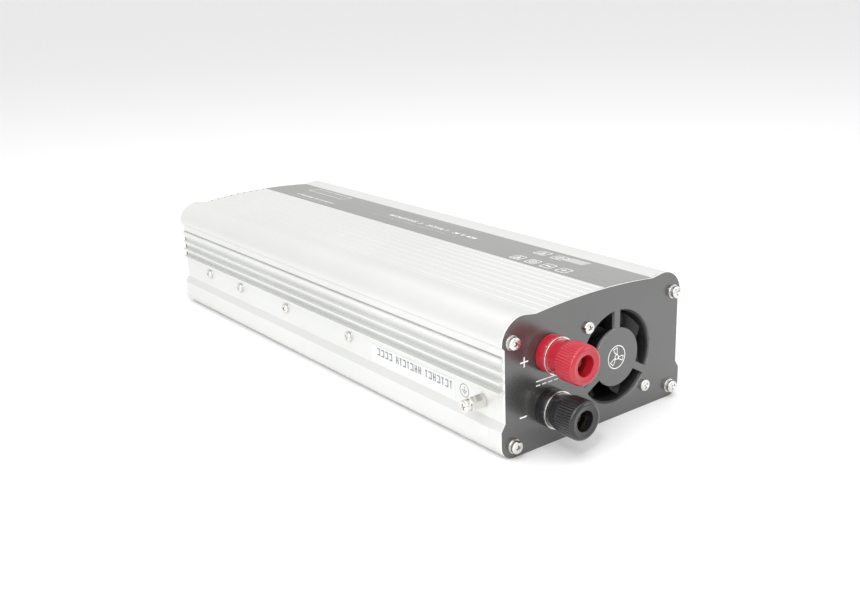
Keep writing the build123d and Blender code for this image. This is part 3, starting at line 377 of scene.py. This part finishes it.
def makeFinishes():
    made = {
        "case_aluminium": caseAluminium(),
        "panel_grey": panelGrey(),
        "label_grey": labelFilm(),
        "sticker": stickerFilm(),
        "nickel": brightMetal("nickel", (0.66, 0.64, 0.61), (0.80, 0.78, 0.75), 0.14, 0.26),
        "zinc": brightMetal("zinc", (0.52, 0.53, 0.54), (0.68, 0.69, 0.70), 0.28, 0.42),
        "brass": brightMetal("brass", (0.64, 0.47, 0.20), (0.78, 0.61, 0.32), 0.20, 0.34),
        "bearing_bronze": brightMetal("bearing_bronze", (0.42, 0.27, 0.12), (0.58, 0.40, 0.20), 0.38, 0.52),
        "bar_aluminium": sawnBar(),
        "red_plastic": mouldedPlastic("red_plastic", (0.40, 0.008, 0.022), (0.46, 0.012, 0.03), 0.16, 0.24,
                                      coat=0.4),
        "black_plastic": mouldedPlastic("black_plastic", (0.008, 0.008, 0.009), (0.014, 0.014, 0.016), 0.16,
                                        0.24, coat=0.4),
        "fan_plastic": mouldedPlastic("fan_plastic", (0.010, 0.010, 0.011), (0.018, 0.018, 0.019), 0.42, 0.55,
                                      0.00002),
        "outlet_plastic": mouldedPlastic("outlet_plastic", (0.010, 0.010, 0.011), (0.018, 0.018, 0.020), 0.26,
                                         0.40, 0.00002),
        "epoxy_black": mouldedPlastic("epoxy_black", (0.014, 0.014, 0.014), (0.03, 0.03, 0.03), 0.45, 0.62,
                                      0.00003),
        "fuse_orange": mouldedPlastic("fuse_orange", (0.70, 0.22, 0.03), (0.80, 0.32, 0.06), 0.16, 0.28,
                                      coat=0.3),
        "red_sleeve": cableSleeve("red_sleeve", (0.42, 0.015, 0.015), (0.55, 0.03, 0.025)),
        "black_sleeve": cableSleeve("black_sleeve", (0.014, 0.014, 0.014), (0.03, 0.03, 0.03)),
        "earth_sleeve": cableSleeve("earth_sleeve", (0.08, 0.34, 0.05), (0.13, 0.44, 0.09)),
        "pad_grey": thermalPad(),
        "board_green": circuitBoard(),
        "copper_wire": woundCopper(),
        "ferrite": ferriteCore(),
        "can_sleeve": canSleeve(),
        "lamp": lampLens("lamp", (0.03, 0.42, 0.05)),
    }
    made["redLamp"] = lampLens("redLamp", (0.60, 0.02, 0.015))
    made["whiteInk"] = ink("whiteInk", (0.86, 0.86, 0.85), (0.95, 0.95, 0.94))
    made["paleInk"] = ink("paleInk", (0.42, 0.42, 0.41), (0.50, 0.50, 0.49))
    made["blackInk"] = ink("blackInk", (0.012, 0.012, 0.013), (0.03, 0.03, 0.032))
    made["greyInk"] = ink("greyInk", (0.16, 0.16, 0.17), (0.24, 0.24, 0.25))
    return made


# mesh kit

def newPiece(name, mesh, body, finish, sharp=35):
    for polygon in mesh.polygons:
        polygon.use_smooth = True
    mesh.set_sharp_from_angle(angle=math.radians(sharp))
    piece = bpy.data.objects.new(name, mesh)
    bpy.context.scene.collection.objects.link(piece)
    if not mesh.materials:
        mesh.materials.append(finish)
    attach(piece, body)
    return piece


def meshFrom(name, bm):
    bmesh.ops.recalc_face_normals(bm, faces=bm.faces)
    mesh = bpy.data.meshes.new(name)
    bm.to_mesh(mesh)
    bm.free()
    return mesh


def turn(bm, profile, sides, radiusAt=None):
    # turns (radius, height) points about Z; a point on the axis closes the end, else the outline is a loop
    rings = []
    for index, (radius, height) in enumerate(profile):
        if radius == 0:
            rings.append([bm.verts.new((0, 0, height))])
            continue
        loop = []
        for side in range(sides):
            angle = 2 * math.pi * side / sides
            r = radiusAt(index, angle, radius) if radiusAt else radius
            loop.append(bm.verts.new((r * math.cos(angle), r * math.sin(angle), height)))
        rings.append(loop)
    onAxis = len(rings[0]) == 1
    pairs = list(zip(rings, rings[1:])) if onAxis else list(zip(rings, rings[1:] + rings[:1]))
    for first, second in pairs:
        for side in range(sides):
            after = (side + 1) % sides
            corners = [first[side % len(first)], first[after % len(first)],
                       second[after % len(second)], second[side % len(second)]]
            bm.faces.new(list(dict.fromkeys(corners)))


def arc(centre, radius, start, end, steps):
    # (radius, height) points round part of a circle, angles in degrees
    points = []
    for step in range(steps + 1):
        angle = math.radians(start + (end - start) * step / steps)
        points.append((centre[0] + radius * math.cos(angle), centre[1] + radius * math.sin(angle)))
    return points


def boxAt(bm, low, high, taper=0.0):
    # a block from low to high; taper draws its foot in on X and Y
    size = [high[i] - low[i] for i in range(3)]
    middle = [(high[i] + low[i]) / 2 for i in range(3)]
    made = bmesh.ops.create_cube(bm, size=1)["verts"]
    for vert in made:
        shrink = 1 - taper if vert.co.z < 0 else 1
        vert.co = Vector((middle[0] + vert.co.x * size[0] * shrink, middle[1] + vert.co.y * size[1] * shrink,
                          middle[2] + vert.co.z * size[2]))
    return made


def carve(solid, cutter):
    # takes cutter out of solid and gives the result as a mesh
    tool = bpy.data.objects.new("carveTool", cutter)
    work = bpy.data.objects.new("carveWork", solid)
    for item in (tool, work):
        bpy.context.scene.collection.objects.link(item)
    step = work.modifiers.new("carve", "BOOLEAN")
    step.operation, step.solver, step.object = "DIFFERENCE", "EXACT", tool
    view = bpy.context.evaluated_depsgraph_get()
    mesh = bpy.data.meshes.new_from_object(work.evaluated_get(view))
    bpy.data.objects.remove(work)
    bpy.data.objects.remove(tool)
    return mesh


def copies(name, mesh, places):
    # one mesh that repeats another at each place
    bm = bmesh.new()
    for place in places:
        start = len(bm.verts)
        bm.from_mesh(mesh)
        bm.verts.ensure_lookup_table()
        bmesh.ops.transform(bm, matrix=place, verts=bm.verts[start:])
    return meshFrom(name, bm)


def standing(x, y, z, towards):
    # a frame at a point in millimetres whose Z looks along towards
    return Matrix.Translation(Vector((x, y, z)) * mm) @ Vector(towards).to_track_quat("Z", "Y").to_matrix().to_4x4()


def islandCentres(node):
    # middle of each separate solid of a node, with its lowest and highest corner
    bm = bmesh.new()
    bm.from_mesh(nodes[node].data)
    bmesh.ops.remove_doubles(bm, verts=bm.verts, dist=1e-6)
    found, seen = [], set()
    for vert in bm.verts:
        if vert in seen:
            continue
        group, stack = [], [vert]
        seen.add(vert)
        while stack:
            one = stack.pop()
            group.append(one.co.copy())
            for edge in one.link_edges:
                other = edge.other_vert(one)
                if other not in seen:
                    seen.add(other)
                    stack.append(other)
        low = Vector([min(point[i] for point in group) for i in range(3)])
        high = Vector([max(point[i] for point in group) for i in range(3)])
        found.append((low, high))
    bm.free()
    return found


print("kit ready")
makeCamera()
makeLights()
finishes = makeFinishes()
print("camera, lights and", len(finishes), "finishes made")

# the CAD nodes that stay take their slot's finish

slotOf = {part["node"]: part["material_slot"] for part in frame["record"]["subparts"]}


def dressNodes():
    for name, node in nodes.items():
        node.data.materials.clear()
        node.data.materials.append(finishes[slotOf[name]])


dressNodes()
print("nodes dressed")

# rounded edges on the CAD nodes whose edges catch light
softEdges = {
    # node: (radius in mm, rings)
    "dc_end_panel": (0.18, 2), "ac_end_panel": (0.18, 2), "red_post_collar": (0.7, 4),
    "black_post_collar": (0.7, 4), "ac_outlet_left": (0.5, 3), "ac_outlet_right": (0.5, 3),
    "switch_housing": (0.35, 3), "power_rocker": (0.4, 3), "ground_standoff": (0.35, 3),
    "red_clamp_washer": (0.2, 2), "black_clamp_washer": (0.2, 2), "fan_frame": (0.3, 2),
    "corner_flat_washers": (0.15, 2), "corner_spring_washers": (0.15, 2), "ground_washers": (0.15, 2),
}


def softenEdges():
    for name, (radius, rings) in softEdges.items():
        weld = nodes[name].modifiers.new("weld", "WELD")
        weld.merge_threshold = 1e-6
        bevel = nodes[name].modifiers.new("bevel", "BEVEL")
        bevel.width, bevel.segments = radius * mm, rings
        bevel.limit_method, bevel.angle_limit = "ANGLE", math.radians(40)
        bevel.use_clamp_overlap = True
        bevel.harden_normals = True


softenEdges()
print("edges softened")

# the two hand knobs, turned about the post axis with heights from the panel face
posts = {"x": -38.0, "face": -202.0, "red": 56.6, "black": 23.6}
knob = {
    "back": 8.0, "neck": 10.7, "neckEnd": 15.6, "grip": 11.9, "gripStart": 16.5, "ribEnd": 26.6,
    "lip": 9.3, "front": 29.2, "mouth": 6.2, "mouthEdge": 0.7, "insertFront": 18.0, "pocket": 7.2,
    "pocketEnd": 9.0, "bore": 4.12, "ribs": 44, "ribDepth": 0.5, "sidesPerRib": 8,
}


def knobProfile():
    # (radius, height, share of rib depth) from the bore round the outside to the mouth
    k = knob
    points = [(k["bore"], k["back"], 0), (k["neck"] - 0.6, k["back"], 0)]
    points += [(r, h, 0) for r, h in arc((k["neck"] - 0.5, k["back"] + 0.5), 0.5, -80, 0, 4)]
    points += [(k["neck"], k["neckEnd"] - 0.3, 0), (k["neck"] + 0.25, k["neckEnd"], 0)]
    points += [(k["grip"] - 0.5, k["gripStart"] - 0.45, 0), (k["grip"] - 0.08, k["gripStart"] - 0.05, 0.25)]
    points += [(k["grip"], k["gripStart"] + 0.5, 1), (k["grip"], k["ribEnd"] - 0.4, 1)]
    round_ = k["front"] - k["ribEnd"]
    for r, h in arc((k["grip"] - round_, k["ribEnd"]), round_, 0, 90, 9):
        turned_ = (h - k["ribEnd"]) / round_
        points.append((r, h, max(0.0, 1 - 2.2 * turned_)))
    dishEnd = k["front"] - 0.55
    for step in range(1, 5):
        share = step / 4
        r = k["lip"] + (k["mouth"] + k["mouthEdge"] - k["lip"]) * share
        points.append((r, k["front"] - 0.55 * math.sin(share * math.pi / 2), 0))
    points += [(r, h, 0) for r, h in arc((k["mouth"] + k["mouthEdge"], dishEnd - k["mouthEdge"]), k["mouthEdge"],
                                         115, 180, 4)]
    points += [(k["mouth"], k["insertFront"], 0), (k["pocket"], k["insertFront"], 0),
               (k["pocket"], k["pocketEnd"], 0), (k["bore"], k["pocketEnd"], 0)]
    return points


def makeKnob(colour):
    points = knobProfile()

    def ribbed(index, angle, radius):
        wave = 0.5 - 0.5 * math.cos(knob["ribs"] * angle)
        return radius - knob["ribDepth"] * mm * points[index][2] * wave ** 1.6

    bm = bmesh.new()
    turn(bm, [(r * mm, h * mm) for r, h, share in points], knob["ribs"] * knob["sidesPerRib"], ribbed)
    bmesh.ops.transform(bm, matrix=standing(posts["x"], posts["face"], posts[colour], (0, -1, 0)), verts=bm.verts)
    piece = newPiece(colour + "KnobGrip", meshFrom(colour + "KnobGrip", bm), colour + "_knob",
                     finishes[colour + "_plastic"], 40)
    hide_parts(colour + "_knob")


makeKnob("red")
makeKnob("black")
print("knobs made")

# pan head screws with a tapered cross recess
panHead = {"radius": 3.9, "height": 2.7, "crown": 0.35, "edge": 1.25, "sides": 56, "shank": 1.9}
sideHead = {**panHead, "radius": 3.7, "height": 2.5}
cross = {"span": 4.5, "width": 1.05, "depth": 1.9, "taper": 0.55, "bowl": 1.15}


def screwMesh(name, head, length):
    r, h, edge = head["radius"], head["height"], head["edge"]
    outline = [(0, -length), (head["shank"] - 0.4, -length), (head["shank"], -length + 0.5), (head["shank"], 0)]
    outline += [(r - 0.12, 0), (r, 0.12), (r, h - head["crown"] - edge)]
    outline += arc((r - edge, h - head["crown"] - edge), edge, 12, 72, 6)
    top = outline[-1]
    for step in range(1, 5):
        share = step / 4
        outline.append((top[0] * (1 - share), top[1] + (h - top[1]) * math.sin(share * math.pi / 2)))
    bm = bmesh.new()
    turn(bm, [(radius * mm, height * mm) for radius, height in outline], head["sides"])
    return meshFrom(name, bm)


def crossMesh(name, head):
    # the driver's shape: one tapered blade; the cross is cut with two of them a quarter turn apart
    bm = bmesh.new()
    top, low = (head["height"] + 0.5) * mm, (head["height"] - cross["depth"]) * mm
    span, width = cross["span"] / 2 * mm, cross["width"] / 2 * mm
    boxAt(bm, (-span, -width, low), (span, width, top), cross["taper"])
    bmesh.ops.recalc_face_normals(bm, faces=bm.faces)
    return meshFrom(name, bm)


def crossedScrew(name, head, length):
    solid = screwMesh(name + "Solid", head, length)
    for quarter in (0, 90):
        cutter = crossMesh(name + "Cut", head)
        cutter.transform(Matrix.Rotation(math.radians(quarter + 24), 4, "Z"))
        solid = carve(solid, cutter)
    return solid


screwSets = {
    # node: (axis, pointed away from the middle along it, head, shank length)
    "corner_screws": ("Y", panHead, 14.0), "side_screws": ("X", sideHead, 9.0),
    "fan_screws": ("Y", panHead, 31.0), "ground_screw": ("X", panHead, 22.0),
}


def makeScrews():
    for node, (axis, head, length) in screwSets.items():
        mesh = crossedScrew(node + "One", head, length)
        which = "XYZ".index(axis)
        places = []
        for low, high in islandCentres(node):
            middle = (low + high) / 2
            side = 1 if middle[which] > 0 else -1
            towards = Vector((0, 0, 0))
            towards[which] = side
            seat = list(middle / mm)
            outer = (high if side > 0 else low)[which] / mm
            seat[which] = outer - side * head["height"]
            spin = Matrix.Rotation(0.7 * len(places), 4, "Z")
            places.append(standing(*seat, towards) @ spin)
        name = node.title().replace("_", "")
        name = name[0].lower() + name[1:] + "Driven"
        piece = newPiece(name, copies(name, mesh, places), "case", finishes["nickel"], 30)
        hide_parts(node)


makeScrews()
print("screws made")

# fan rotor with cambered blades
rotor = {
    "x": 17.5, "z": 39.3, "front": -198.2, "back": -180.0, "hub": 14.5, "wall": 1.5, "tip": 27.8,
    "blades": 7, "thick": 1.1, "sweep": 26, "chord": 40, "around": 10, "along": 6, "edge": 1.6,
}


def rotorMesh():
    f = rotor
    bm = bmesh.new()
    depth = f["back"] - f["front"]
    hub = [(0, 0), (f["hub"] * 0.72, 0), (f["hub"] - f["edge"], 0.12)]
    hub += arc((f["hub"] - f["edge"], -(0.12 + f["edge"])), f["edge"], 78, 0, 6)[1:]
    hub = [(r, h) for r, h in hub]
    hub += [(f["hub"], -depth), (f["hub"] - f["wall"], -depth), (f["hub"] - f["wall"], -f["wall"]),
            (0, -f["wall"])]
    top = max(h for r, h in hub)
    hub = [(r, h - top) for r, h in hub]
    turn(bm, [(r * mm, h * mm) for r, h in hub], 72)
    for blade in range(f["blades"]):
        base = 2 * math.pi * blade / f["blades"]
        sheets = []
        for side in (-1, 1):
            sheet = []
            for i in range(f["around"] + 1):
                out = i / f["around"]
                r = f["hub"] - 0.5 + (f["tip"] - f["hub"] + 0.5) * out
                row = []
                for j in range(f["along"] + 1):
                    run = j / f["along"]
                    lean = math.radians(f["sweep"] * out ** 1.4)
                    turnBy = math.radians(f["chord"]) * (run + 0.18 * math.sin(math.pi * run))
                    height = -1.0 - (depth - 2.2) * run
                    taper = 1.0 - 0.55 * abs(2 * run - 1) ** 2
                    shift = side * f["thick"] / 2 * taper
                    angle = base + lean + turnBy + shift * 0.75 / r
                    row.append(bm.verts.new((r * math.cos(angle) * mm, r * math.sin(angle) * mm,
                                             (height + shift * 0.65) * mm)))
                sheet.append(row)
            sheets.append(sheet)
        low, high = sheets
        for sheet in sheets:
            for i in range(f["around"]):
                for j in range(f["along"]):
                    bm.faces.new((sheet[i][j], sheet[i + 1][j], sheet[i + 1][j + 1], sheet[i][j + 1]))
        rim = [(i, 0) for i in range(f["around"] + 1)]
        rim += [(f["around"], j) for j in range(1, f["along"] + 1)]
        rim += [(i, f["along"]) for i in range(f["around"] - 1, -1, -1)]
        rim += [(0, j) for j in range(f["along"] - 1, 0, -1)]
        for (i, j), (m, n) in zip(rim, rim[1:] + rim[:1]):
            bm.faces.new((low[i][j], low[m][n], high[m][n], high[i][j]))
    bmesh.ops.transform(bm, matrix=standing(f["x"], f["front"], f["z"], (0, -1, 0)), verts=bm.verts)
    return meshFrom("bladedRotor", bm)


bladed = newPiece("bladedRotor", rotorMesh(), "fan_rotor", finishes["fan_plastic"], 40)
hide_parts("fan_rotor")
print("rotor made")

# lamp domes
lampSet = {"x": 33.0, "face": 202.0, "radius": 2.5, "dome": 1.6, "depth": 6.0,
           "tall": {"greenLampDome": (60.0, "lamp"), "redLampDome": (48.0, "redLamp")}}


def makeLamps():
    for name, (z, finish) in lampSet["tall"].items():
        r = lampSet["radius"]
        outline = [(0, -lampSet["depth"]), (r, -lampSet["depth"]), (r, 0)]
        outline += [(r * math.cos(a), lampSet["dome"] * math.sin(a))
                    for a in [math.pi / 2 * step / 8 for step in range(1, 8)]] + [(0, lampSet["dome"])]
        bm = bmesh.new()
        turn(bm, [(a * mm, b * mm) for a, b in outline], 48)
        bmesh.ops.transform(bm, matrix=standing(lampSet["x"], lampSet["face"], z, (0, 1, 0)), verts=bm.verts)
        piece = newPiece(name, meshFrom(name, bm), "case", finishes[finish])
        if finish == "lamp":
            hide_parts("indicator_lamps")


makeLamps()
print("lamps made")

# printed marks: thin raised shapes laid on the surface beneath them
printing = {"raise": 0.05, "sink": 0.05}
surfaces = {
    # name: (nodes looked at, origin axis values, direction of the ray)
    "top": (("top_label", "top_cover"), lambda u, v: Vector((u * mm, v * mm, 0.2)), Vector((0, 0, -1))),
    "dcEnd": (("dc_end_panel",), lambda u, v: Vector((u * mm, -0.3, v * mm)), Vector((0, 1, 0))),
    "acEnd": (("ac_end_panel",), lambda u, v: Vector((u * mm, 0.3, v * mm)), Vector((0, -1, 0))),
    "leftWall": (("side_stickers", "lower_case"), lambda u, v: Vector((-0.3, u * mm, v * mm)), Vector((1, 0, 0))),
    "rightWall": (("side_stickers", "lower_case"), lambda u, v: Vector((0.3, u * mm, v * mm)),
                  Vector((-1, 0, 0))),
    "switchEnd": (("switch_housing",), lambda u, v: Vector((u * mm, 0.3, v * mm)), Vector((0, -1, 0))),
}


def surfaceTree(name):
    bm = bmesh.new()
    for node in surfaces[name][0]:
        bm.from_mesh(nodes[node].data)
    tree = BVHTree.FromBMesh(bm)
    bm.free()
    return tree


def bar(u0, u1, v0, v1, step=2.5):
    # a filled rectangle split into strips so that it follows a curved surface
    count = max(1, math.ceil(abs(u1 - u0) / step))
    cuts = [u0 + (u1 - u0) * i / count for i in range(count + 1)]
    return [[(a, v0), (b, v0), (b, v1), (a, v1)] for a, b in zip(cuts, cuts[1:])]


def stroke(points, width, closed=False):
    # mitred band along a line of points
    quads, count = [], len(points)
    sides = []
    for index, point in enumerate(points):
        before = points[index - 1] if index or closed else points[index]
        after = points[(index + 1) % count] if index + 1 < count or closed else points[index]
        a = Vector(point) - Vector(before)
        b = Vector(after) - Vector(point)
        a, b = (a.normalized() if a.length else b.normalized()), (b.normalized() if b.length else a.normalized())
        along = (a + b).normalized() if (a + b).length > 1e-6 else a
        across = Vector((-along.y, along.x))
        reach = width / 2 / max(0.35, across.dot(Vector((-a.y, a.x))))
        sides.append((Vector(point) + across * reach, Vector(point) - across * reach))
    pairs = list(zip(sides, sides[1:] + sides[:1])) if closed else list(zip(sides, sides[1:]))
    for (a, b), (c, d) in pairs:
        quads.append([tuple(a), tuple(c), tuple(d), tuple(b)])
    return quads


def circle(u, v, radius, width, steps=36):
    return stroke([(u + radius * math.cos(2 * math.pi * i / steps), v + radius * math.sin(2 * math.pi * i / steps))
                   for i in range(steps)], width, True)


def roundedFrame(u0, u1, v0, v1, corner, width):
    points = []
    for cu, cv, start in ((u1 - corner, v1 - corner, 0), (u0 + corner, v1 - corner, 90),
                          (u0 + corner, v0 + corner, 180), (u1 - corner, v0 + corner, 270)):
        for step in range(5):
            angle = math.radians(start + 22.5 * step)
            points.append((cu + corner * math.cos(angle), cv + corner * math.sin(angle)))
    return stroke(points, width, True)


def wordRow(u0, u1, v0, v1, seed, gap=1.1, letters=True):
    # a row of plain letter-like bars: no real characters
    u0, u1 = sorted((u0, u1))
    quads, v, state = [], v0, seed
    while v < v1:
        state = (state * 1103515245 + 12345) % 2147483648
        kind = (state >> 8) % 7
        if kind == 0:
            v += gap * 2.2
            continue
        wide = (u1 - u0) * (0.42 + 0.10 * (kind % 3))
        if v + wide > v1:
            break
        thin = abs(u1 - u0) * 0.17
        if kind in (1, 4):
            quads += bar(u0, u1, v, v + thin) + bar(u0, u1, v + wide - thin, v + wide)
            quads += bar((u0 + u1) / 2 - thin / 2, (u0 + u1) / 2 + thin / 2, v + thin, v + wide - thin)
        elif kind in (2, 5):
            quads += bar(u0, u1, v, v + thin)
            quads += bar(u0, u0 + thin, v + thin, v + wide) + bar(u1 - thin, u1, v + thin, v + wide)
        else:
            quads += bar(u0, u1, v + wide / 2 - thin / 2, v + wide / 2 + thin / 2)
            quads += bar(u1 - thin, u1, v, v + wide / 2 - thin / 2)
            quads += bar(u1 - thin, u1, v + wide / 2 + thin / 2, v + wide)
        v += wide + gap
    return quads


def printMarks(name, where, quads, finish, raised=None):
    # each outline becomes a thin tile with its corners cast onto the surface
    tree = surfaceTree(where)
    start, way = surfaces[where][1:]
    up = -way * (raised or printing["raise"]) * mm
    down = way * printing["sink"] * mm
    bm = bmesh.new()
    for quad in quads:
        tops, lows = [], []
        for u, v in quad:
            hit = tree.ray_cast(start(u, v), way)[0]
            if hit is None:
                break
            tops.append(bm.verts.new(hit + up))
            lows.append(bm.verts.new(hit + down))
        if len(tops) < len(quad):
            for vert in tops + lows:
                bm.verts.remove(vert)
            continue
        bm.faces.new(tops)
        bm.faces.new(lows[::-1])
        count = len(tops)
        for i in range(count):
            j = (i + 1) % count
            bm.faces.new((tops[j], tops[i], lows[i], lows[j]))
    return newPiece(name, meshFrom(name, bm), "case", finishes[finish])


def pictogram(u, v, size, kind):
    # outline square holding a simple sign
    half = size / 2
    marks = roundedFrame(u - half, u + half, v - half, v + half, size * 0.14, size * 0.055)
    if kind == 0:
        marks += stroke([(u - half * 0.5, v - half * 0.55), (u + half * 0.6, v), (u - half * 0.5, v + half * 0.55)],
                        size * 0.06, True)
        marks += bar(u - half * 0.25, u + half * 0.2, v - size * 0.03, v + size * 0.03)
    elif kind == 1:
        marks += circle(u, v, half * 0.52, size * 0.06, 24)
        marks += bar(u - half * 0.3, u + half * 0.3, v - size * 0.03, v + size * 0.03)
    elif kind == 2:
        marks += stroke([(u - half * 0.5, v - half * 0.4), (u + half * 0.1, v - half * 0.4),
                         (u - half * 0.1, v + half * 0.4), (u + half * 0.5, v + half * 0.4)], size * 0.07)
    else:
        marks += stroke([(u - half * 0.5, v), (u + half * 0.5, v)], size * 0.07)
        marks += stroke([(u, v - half * 0.5), (u, v + half * 0.5)], size * 0.07)
    return marks


def labelMarks():
    white = wordRow(30.0, 26.3, -62, 48, 11, 1.3)
    for index, v in enumerate((-118.0, -134.0)):
        white += pictogram(36.5, v, 9.5, index)
    for index, v in enumerate((-117.0, -131.0, -145.0, -159.0)):
        white += pictogram(15.5, v, 8.5, index)
    white += wordRow(18.0, 15.5, 106, 162, 71, 0.8)
    white += roundedFrame(32.5, 43.0, 118, 169, 1.2, 0.5)
    printMarks("labelTitlePrint", "top", white, "whiteInk")
    faint = wordRow(21.4, 19.6, -46, 57, 5, 0.5) + wordRow(45.6, 44.0, -46, 57, 29, 0.5)
    faint += wordRow(41.0, 39.4, 122, 165, 83, 0.45) + wordRow(37.8, 36.2, 122, 165, 47, 0.45)
    faint += wordRow(12.6, 11.3, 106, 168, 59, 0.4)
    printMarks("labelSmallPrint", "top", faint, "paleInk")
    patch = bar(33.5, 43.0, -156, -139, 1.0)
    printMarks("labelPatchPrint", "top", patch, "paleInk")


def earthSign(u, v, radius, width):
    marks = circle(u, v, radius, width)
    marks += bar(u - width / 2, u + width / 2, v, v + radius * 0.62)
    for index, half in enumerate((0.62, 0.42, 0.2)):
        level = v - radius * 0.24 * index
        marks += bar(u - radius * half, u + radius * half, level - width / 2, level + width / 2)
    return marks


def fanSign(u, v, radius):
    marks = circle(u, v, radius, 0.55) + circle(u, v, radius * 0.2, 0.5, 16)
    for index in range(3):
        base = math.radians(90 + 120 * index)
        outline = []
        for share, spreadBy in ((0.26, 0.25), (0.55, 0.52), (0.8, 0.46), (0.82, -0.05), (0.55, -0.10), (0.26, -0.2)):
            outline.append((u + radius * share * math.cos(base + spreadBy), v + radius * share * math.sin(base + spreadBy)))
        marks += stroke(outline, 0.5, True)
    return marks


def endMarks():
    signs = bar(-60.6, -54.6, 55.55, 56.45) + bar(-58.05, -57.15, 53.0, 55.55) + bar(-58.05, -57.15, 56.45, 59.0)
    signs += bar(-61.2, -55.8, 22.4, 23.3)
    signs += bar(-48.6, -30.8, 41.3, 42.0)
    for index in range(4):
        start = -48.6 + index * 4.65
        signs += bar(start, start + 3.3, 38.7, 39.4)
    signs += fanSign(17.5, 39.3, 7.2)
    printMarks("dcEndPrint", "dcEnd", signs, "whiteInk")
    back = []
    for x in (-43.0, 5.0):
        back += stroke([(x - 6 + i, 17.0 + 1.5 * math.sin(i * math.pi / 6)) for i in range(13)], 0.6)
    back += roundedFrame(-66.5, 28.5, 12.0, 70.0, 3.0, 0.5)
    back += bar(50.7, 51.3, 68.5, 72.0) + circle(51.0, 37.6, 1.6, 0.45, 24)
    back += bar(26.5, 29.0, 59.7, 60.3) + bar(26.5, 29.0, 47.7, 48.3)
    printMarks("acEndPrint", "acEnd", back, "whiteInk")


def wallMarks():
    printMarks("earthPrint", "leftWall", earthSign(-166.3, 32.0, 4.0, 0.45), "greyInk")
    for name, where in (("leftStickerPrint", "leftWall"), ("rightStickerPrint", "rightWall")):
        quads = wordRow(29.3, 34.3, -155, -75, 37, 1.3)
        turned_ = [[(v, u) for u, v in quad][::-1] for quad in quads]
        printMarks(name, where, turned_, "greyInk")


labelMarks()
endMarks()
wallMarks()
print("marks printed")


# pale floor

def paleFloor():
    bm = bmesh.new()
    centre = bm.verts.new((0, 0, 0))
    last = None
    for step in range(1, studio["rings"] + 1):
        radius = studio["floorRadius"] * (step / studio["rings"]) ** 3
        loop = [bm.verts.new((radius * math.cos(2 * math.pi * k / studio["sides"]),
                              radius * math.sin(2 * math.pi * k / studio["sides"]), 0))
                for k in range(studio["sides"])]
        for k in range(studio["sides"]):
            after = (k + 1) % studio["sides"]
            if last is None:
                bm.faces.new((centre, loop[k], loop[after]))
            else:
                bm.faces.new((last[k], loop[k], loop[after], last[after]))
        last = loop
    mesh = meshFrom("floor", bm)
    material = startFinish("floorPaper", 0.8)
    fibre = noise(material, 350, 3.0)
    tone = studio["floorTone"]
    setColour(material, blendColours(material, fibre, (tone, tone, tone), (tone + 0.02,) * 3))
    addBump(material, fibre, 0.00005)
    mesh.materials.append(material)
    floor = bpy.data.objects.new("floor", mesh)
    floor.location = (0, 0, cadBox[0].z - 0.0001)
    bpy.context.scene.collection.objects.link(floor)


paleFloor()
